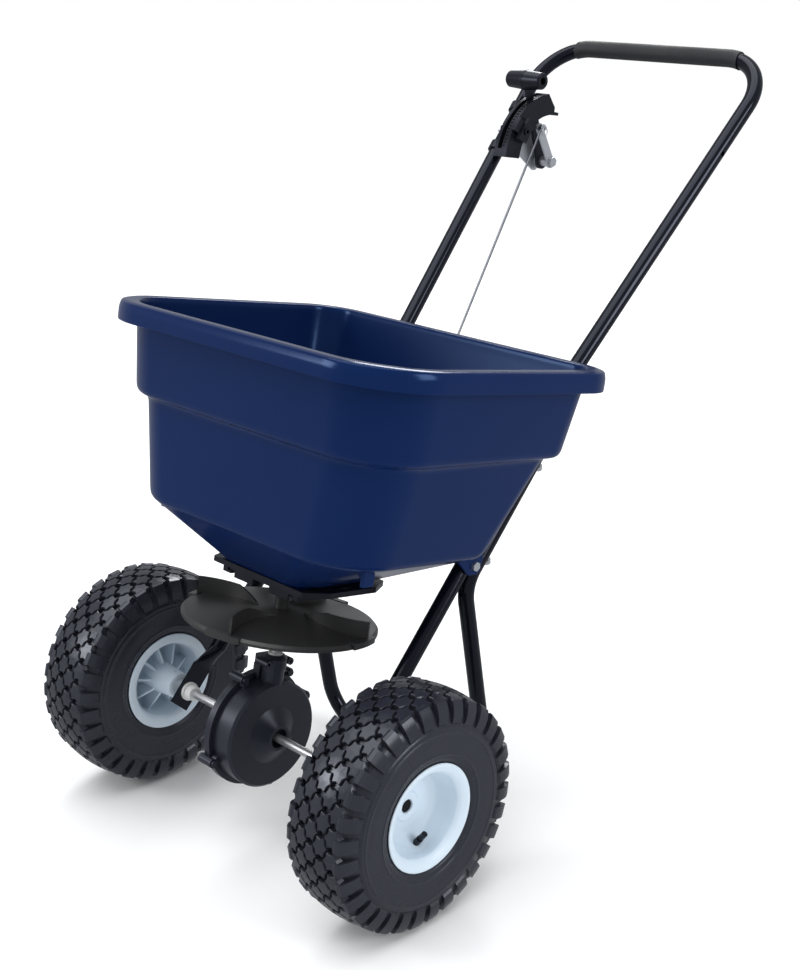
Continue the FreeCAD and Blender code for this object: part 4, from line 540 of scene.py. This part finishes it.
    def fittings(self) -> list[tuple[np.ndarray, list]]:
        """Front feet with gussets, and rear lugs with ribs, mirrored left and right.

        Returns:
            Points and faces of each in the machine's frame.
        """
        edge = self.levels["edge"]
        made = []
        for sign in (-1.0, 1.0):
            flip = np.array([sign, 1.0, 1.0])
            post = np.array([[167.0, -52.0, edge - 21.0], [172.0, -52.0, edge - 21.0],
                             [172.0, -52.0, edge + 4.0], [167.0, -52.0, edge + 4.0]])
            gusset = np.array([[142.0, -47.0, edge + 4.0], [167.5, -47.0, edge - 21.0],
                               [167.5, -47.0, edge + 4.0]])
            x = self.lug_plane
            lug = np.array([[x, 110.0, edge + 8.0], [x, 144.0, edge + 8.0], [x, 152.0, edge],
                            [x, 158.0, edge - 10.0], [x, 155.5, edge - 26.0], [x, 151.0, edge - 31.0],
                            [x, 137.0, edge - 31.0], [x, 114.0, edge - 12.0]])
            rib = np.array([[x, 128.0, edge - 14.0], [x + 14.0, 128.0, edge - 4.0],
                            [x + 14.0, 128.0, edge + 4.0], [x, 128.0, edge + 4.0]])
            for outline, push in ((post, (0, self.foot_length, 0)),
                                  (gusset, (0, self.gusset_thickness, 0)),
                                  (lug, (self.lug_thickness * sign, 0, 0)),
                                  (rib, (0, self.gusset_thickness, 0))):
                points, faces = slab(outline * flip, push)
                made.append((leaning(points), faces))
        return made

    def build(self) -> list[bpy.types.Object]:
        """Make the hopper's pieces and dress them.

        Returns:
            The pieces.
        """
        points, faces = self.skin()
        shell = outward(piece_from("hopper_shell", points, faces, 30.0))
        points, faces = self.floor_plate()
        base = piece_from("hopper_floor", points, faces, None)
        points, faces = merged(self.fittings())
        lugs = piece_from("hopper_lugs", points, faces, None)
        soften(lugs, 0.0008)
        for piece in (shell, base, lugs):
            HOPPER_NAVY.dress(piece)
            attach(piece, "frame")
            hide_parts("hopper")
        return [shell, base, lugs]


def soften(piece: bpy.types.Object, width: float, segments: int = 2) -> None:
    """Round a piece's sharp edges with a live bevel."""
    bevel = piece.modifiers.new("soft_edges", "BEVEL")
    bevel.width = width
    bevel.segments = segments
    bevel.limit_method = "ANGLE"
    bevel.angle_limit = math.radians(35.0)
    bevel.harden_normals = False


# ---------------------------------------------------------------- wheels
@dataclass
class Tyre:
    """Turf tyre: a turned carcass with rows of star blocks and a ring of shoulder lugs."""

    side: Side
    mid_plane: float = 223.6
    crown: float = 133.0
    block_height: float = 5.6
    pitch_count: int = 32
    rows: tuple[float, ...] = (-28.0, -14.0, 0.0, 14.0, 28.0)
    star_outer: float = 11.2
    star_inner: float = 8.0
    lug_inner: float = 103.5

    def half_profile(self) -> np.ndarray:
        """Carcass on one side from the bead to the crown, as (x, radius)."""
        return np.array([[32.0, 52.0], [38.9, 51.4], [39.1, 60.5], [40.6, 62.0], [41.4, 64.2],
                         [42.6, 66.0], [43.6, 71.0], [44.5, 71.4], [44.5, 72.6], [43.9, 73.0],
                         [44.6, 86.0], [44.5, 95.6], [45.1, 96.0], [45.1, 97.4], [44.4, 97.8], [44.1, 102.2],
                         [43.4, 102.6], [42.6, 104.4], [40.8, 111.0], [38.0, 117.0], [34.6, 121.0],
                         [31.0, 123.4], [22.0, 125.6], [10.0, 126.9]])

    def carcass(self) -> tuple[np.ndarray, list]:
        """Closed ring: both sides' profiles joined by an inner wall, turned about the axle.

        Returns:
            Points and faces in the machine's frame.
        """
        half = self.half_profile()
        inner = np.array([[28.0, 66.0], [35.0, 92.0], [26.0, 116.0]])
        loop = np.concatenate([half, [[0.0, 127.3]], (half * [-1, 1])[::-1],
                               inner * [-1, 1], inner[::-1]])
        profile = rounded(loop, 1.6, 3, True) * MM
        grid = turned_x(profile, wheel_place(self.side, self.mid_plane), 132)
        return grid, grid_faces(grid.shape[0], grid.shape[1], True, True)

    def crown_radius(self, x: np.ndarray) -> np.ndarray:
        """Radius of the blocks' tops: the crown less a fall that grows with x squared."""
        return self.crown - 4.6 * (x / 35.0) ** 2

    def wrapped(self, x: np.ndarray, around: np.ndarray, radius: np.ndarray) -> np.ndarray:
        """Points from a place across, an angle round and a radius, in metres."""
        return np.stack([x * MM + self.side.sign * self.mid_plane * MM,
                         radius * np.cos(around) * MM + FOOTPRINT_SHIFT,
                         radius * np.sin(around) * MM + AXLE_HEIGHT], axis=-1)

    def blocks(self) -> tuple[np.ndarray, list]:
        """Six-pointed blocks on the crown: an outline in rings at falling depth, wrapped round.

        Returns:
            Points and faces in the machine's frame.
        """
        corner = np.arange(12)
        reach = np.where(corner % 2 == 0, self.star_outer, self.star_inner)
        angle = corner * np.pi / 6.0
        outline = np.stack([reach * np.cos(angle) * 0.84, reach * np.sin(angle) * 1.08], axis=-1)
        rings = np.array([[1.16, self.block_height + 1.6], [1.0, 0.7], [0.92, 0.0], [0.0, 0.0]])
        local = outline[None] * rings[:, None, :1]
        depth = np.repeat(rings[:, 1:], 12, axis=1)
        rows = np.array(self.rows)
        turn = 2.0 * np.pi / self.pitch_count
        stagger = (np.arange(len(rows)) % 2) * 0.5
        across = rows[:, None] + np.zeros(self.pitch_count)
        round_at = (np.arange(self.pitch_count)[None] + stagger[:, None]) * turn
        x = across[..., None, None] + local[..., 0]
        angle_at = round_at[..., None, None] + local[..., 1] / self.crown
        radius = self.crown_radius(x) - depth
        points = self.wrapped(x, angle_at, radius).reshape(-1, 48, 3)
        cell = grid_faces(4, 12, False, True)
        faces = [tuple(v + 48 * k for v in face) for k in range(len(points)) for face in cell]
        return points, faces

    def lugs(self) -> tuple[np.ndarray, list]:
        """Shoulder lugs: a bar carried from the side wall's step up over the shoulder.

        Returns:
            Points and faces in the machine's frame.
        """
        path = np.array([[42.9, self.lug_inner], [43.6, 107.0], [42.6, 113.0], [40.6, 119.2],
                         [38.4, 124.4], [36.6, 127.9], [33.6, 129.6], [30.2, 129.9]])
        rise = np.array([-0.6, 0.9, 1.7, 2.1, 2.2, 1.8, 0.8, -0.8])
        half = np.array([7.4, 7.6, 7.8, 7.8, 7.5, 7.0, 6.4, 5.8])
        tangent = np.gradient(path, axis=0)
        tangent /= np.linalg.norm(tangent, axis=1, keepdims=True)
        normal = np.stack([tangent[:, 1], -tangent[:, 0]], axis=-1)
        top = path + normal * rise[:, None]
        root = path - normal * 5.0
        across = np.stack([root[:, 0], top[:, 0], top[:, 0], root[:, 0]], axis=-1)
        radius = np.stack([root[:, 1], top[:, 1], top[:, 1], root[:, 1]], axis=-1)
        width = np.stack([-half - 0.8, -half, half, half + 0.8], axis=-1)
        turn = 2.0 * np.pi / self.pitch_count
        sides = []
        for sign, shift in ((1.0, 0.25), (-1.0, 0.75)):
            at = (np.arange(self.pitch_count) + shift) * turn
            angle = at[:, None, None] + sign * width[None] / 124.0
            points = self.wrapped(np.broadcast_to(sign * across, angle.shape), angle,
                                  np.broadcast_to(radius, angle.shape))
            sides.append(points.reshape(-1, 4 * len(path), 3))
        points = np.concatenate(sides)
        cell = grid_faces(len(path), 4, False, True)
        last = 4 * (len(path) - 1)
        cell += [(0, 1, 2, 3), (last + 3, last + 2, last + 1, last)]
        count = 4 * len(path)
        faces = [tuple(v + count * k for v in face) for k in range(len(points)) for face in cell]
        return points, faces

    def build(self) -> list[bpy.types.Object]:
        """Make the tyre's pieces and dress them.

        Returns:
            The pieces.
        """
        label = self.side.label
        carcass = outward(piece_from(f"tyre_carcass_{label}", *self.carcass(), 35.0))
        blocks = outward(piece_from(f"tyre_blocks_{label}", *self.blocks(), 25.0))
        lugs = outward(piece_from(f"tyre_lugs_{label}", *self.lugs(), 30.0))
        for piece in (carcass, blocks, lugs):
            TYRE_BLACK.dress(piece)
            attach(piece, self.side.body)
            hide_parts(f"tyre_{label}")
        return [carcass, blocks, lugs]


@dataclass
class Rim:
    """Moulded wheel centre: dish, web, hub tube and thin ribs behind."""

    side: Side
    mid_plane: float = 223.6
    half_width: float = 42.9
    flange: float = 61.5
    seat: float = 50.8
    hub: float = 17.0
    hub_end: float = -61.6
    bore: float = 5.1
    ribs: int = 9
    rib_half: float = 1.4
    pocket_angle: float = -1.39
    pocket_depth: float = 5.5

    def profile(self) -> np.ndarray:
        """Section as (x, radius), outer side at +x, starting at the hub tube's inner end."""
        w, f, s = self.half_width, self.flange, self.seat
        return np.array([
            [self.hub_end, self.bore], [self.hub_end, self.hub - 1.0], [-8.0, self.hub + 3.0],
            [1.0, self.hub + 9.0], [1.0, 38.0], [-6.0, 44.8], [-w + 5.0, 46.6], [-w + 0.5, 51.0],
            [-w, f - 1.5], [-w + 1.5, f], [-w + 3.6, f - 2.0], [-w + 3.6, s],
            [w - 3.6, s], [w - 3.6, f - 2.0], [w - 1.5, f], [w, f - 1.5], [w - 0.5, 57.0],
            [w - 3.5, 51.5], [w - 7.5, 48.2], [w - 10.5, 47.6], [22.0, 45.2], [11.0, 40.5], [6.0, 32.0],
            [5.6, 24.0], [6.4, 17.6], [8.5, 15.6], [8.5, 7.6], [2.5, 7.4], [2.5, self.bore]])

    def body(self) -> tuple[np.ndarray, list]:
        """Section turned about the axle, with a pocket pushed out for the valve.

        Returns:
            Points and faces in the machine's frame.
        """
        section = rounded(self.profile(), 2.4, 5, True)
        grid = turned_x(section, (0.0, 0.0, 0.0), 120)
        x, y, z = grid[..., 0], grid[..., 1], grid[..., 2]
        angle = np.arctan2(z, y)
        radius = np.hypot(y, z)
        near = np.exp(-((angle - self.pocket_angle) / 0.36) ** 2)
        wall = np.clip((x - 4.0) / 9.0, 0.0, 1.0) * np.clip((36.0 - x) / 14.0, 0.0, 1.0)
        inside = (radius < self.seat - 2.0) & (radius > 28.0)
        push = np.where(inside, near * wall * self.pocket_depth, 0.0)
        scale = 1.0 + push / np.maximum(radius, 1.0)
        grid = np.stack([x, y * scale, z * scale], axis=-1) * np.array([self.side.sign, 1.0, 1.0])
        points = grid * MM + wheel_place(self.side, self.mid_plane)
        return points, grid_faces(grid.shape[0], grid.shape[1], True, True)

    def rib_plates(self) -> list[tuple[np.ndarray, list]]:
        """Radial plates between hub tube and barrel, on the web's inner side.

        Returns:
            Points and faces of each in the machine's frame.
        """
        shape = np.array([[1.6, self.hub + 3.0], [1.6, 46.0], [-16.0, 46.6], [-30.0, self.hub + 4.5],
                          [-30.0, self.hub + 1.0]])
        made = []
        for k in range(self.ribs):
            angle = 2.0 * np.pi / self.ribs * k + math.radians(10.0)
            outline = np.stack([shape[:, 0] * self.side.sign, shape[:, 1] * np.cos(angle),
                                shape[:, 1] * np.sin(angle)], axis=-1)
            across = np.array([0.0, -np.sin(angle), np.cos(angle)])
            points, faces = slab(outline - across * self.rib_half, across * 2.0 * self.rib_half)
            made.append((points * MM + wheel_place(self.side, self.mid_plane), faces))
        return made

    def build(self) -> list[bpy.types.Object]:
        """Make the rim's pieces and dress them.

        Returns:
            The pieces.
        """
        label = self.side.label
        body = outward(piece_from(f"rim_body_{label}", *self.body(), 40.0))
        ribs = piece_from(f"rim_ribs_{label}", *merged(self.rib_plates()), None)
        soften(ribs, 0.0005)
        for piece in (body, ribs):
            RIM_WHITE.dress(piece)
            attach(piece, self.side.body)
            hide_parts(f"rim_{label}")
        return [body, ribs]


# ---------------------------------------------------------------- surroundings
@dataclass
class Studio:
    """Pale floor, soft lights and the camera."""

    eye: tuple[float, float, float] = (1.2411, -1.0206 + FOOTPRINT_SHIFT, 1.0085)
    pitch: float = 19.7
    turn: float = 45.0
    focal: float = 57.72
    floor_half: float = 9.0
    world_strength: float = 0.42
    sun_strength: float = 2.5
    sun_spread: float = 1.2

    def floor(self) -> bpy.types.Object:
        """Large pale plane under the object."""
        edge = self.floor_half
        points = np.array([[-edge, -edge, 0.0], [edge, -edge, 0.0], [edge, edge, 0.0], [-edge, edge, 0.0]])
        plane = piece_from("floor", points, [(0, 1, 2, 3)], None)
        FLOOR_PALE.dress(plane)
        plane.visible_glossy = False
        return plane

    def light(self, name: str, place: Sequence[float], aim: Sequence[float], size: float,
              power: float) -> bpy.types.Object:
        """Square area light aimed at a point.

        Args:
            name: the light's name.
            place: where it stands.
            aim: what it points at.
            size: side of the square.
            power: watts.

        Returns:
            The light's object.
        """
        data = bpy.data.lights.new(name, "AREA")
        data.shape = "SQUARE"
        data.size = size
        data.energy = power
        lamp = bpy.data.objects.new(name, data)
        bpy.context.scene.collection.objects.link(lamp)
        lamp.location = place
        lamp.rotation_euler = (Vector(aim) - Vector(place)).to_track_quat("-Z", "Y").to_euler()
        return lamp

    def sun(self) -> bpy.types.Object:
        """Wide soft sun, almost overhead; its spread is an angle in radians."""
        data = bpy.data.lights.new("overhead", "SUN")
        data.energy = self.sun_strength
        data.angle = self.sun_spread
        lamp = bpy.data.objects.new("overhead", data)
        bpy.context.scene.collection.objects.link(lamp)
        lamp.rotation_euler = (0.12, -0.12, 0.0)
        return lamp

    def build(self) -> None:
        """Make floor, world, lights and camera."""
        self.floor()
        world = bpy.data.worlds.new("studio_world")
        world.use_nodes = True
        tree = world.node_tree
        seen = tree.nodes["Background"]
        seen.inputs["Color"].default_value = (1.0, 1.0, 1.0, 1.0)
        seen.inputs["Strength"].default_value = 1.0
        around = tree.nodes.new("ShaderNodeBackground")
        around.inputs["Color"].default_value = (0.93, 0.96, 1.0, 1.0)
        around.inputs["Strength"].default_value = self.world_strength
        rays = tree.nodes.new("ShaderNodeLightPath")
        either = tree.nodes.new("ShaderNodeMixShader")
        tree.links.new(rays.outputs["Is Camera Ray"], either.inputs["Fac"])
        tree.links.new(around.outputs["Background"], either.inputs[1])
        tree.links.new(seen.outputs["Background"], either.inputs[2])
        tree.links.new(either.outputs["Shader"], tree.nodes["World Output"].inputs["Surface"])
        bpy.context.scene.world = world
        bpy.context.scene.view_settings.view_transform = "Standard"
        aim = (0.0, -0.15, 0.4)
        self.sun()
        self.light("key", (-1.7, -2.7, 1.7), aim, 1.1, 36.0)
        self.light("fill", (2.9, 0.5, 1.5), aim, 1.2, 34.0)
        self.light("back", (-1.6, 2.2, 2.2), aim, 1.0, 30.0)
        data = bpy.data.cameras.new("camera")
        data.lens = self.focal
        data.sensor_width = 36.0
        camera = bpy.data.objects.new("camera", data)
        bpy.context.scene.collection.objects.link(camera)
        camera.location = self.eye
        camera.rotation_euler = (math.radians(90.0 - self.pitch), 0.0, math.radians(self.turn))
        bpy.context.scene.camera = camera


def dress_frame(nodes: dict[str, bpy.types.Object]) -> None:
    """Give every node of the frame its finish.

    Args:
        nodes: the frame's objects by name.
    """
    for finish, names in NODE_FINISHES.items():
        for name in names:
            finish.dress(nodes[name])


def main() -> None:
    """Build the looks in order."""
    logging.basicConfig(level=logging.INFO, format="%(name)s: %(message)s")
    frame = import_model()
    dress_frame(frame["nodes"])
    builders: list = [Hopper()]
    for side in Side:
        builders += [Tyre(side), Rim(side)]
    for builder in builders:
        for piece in builder.build():
            LOG.info("%s: %d faces", piece.name, len(piece.data.polygons))
    Studio().build()


if __name__ == "__main__":
    main()
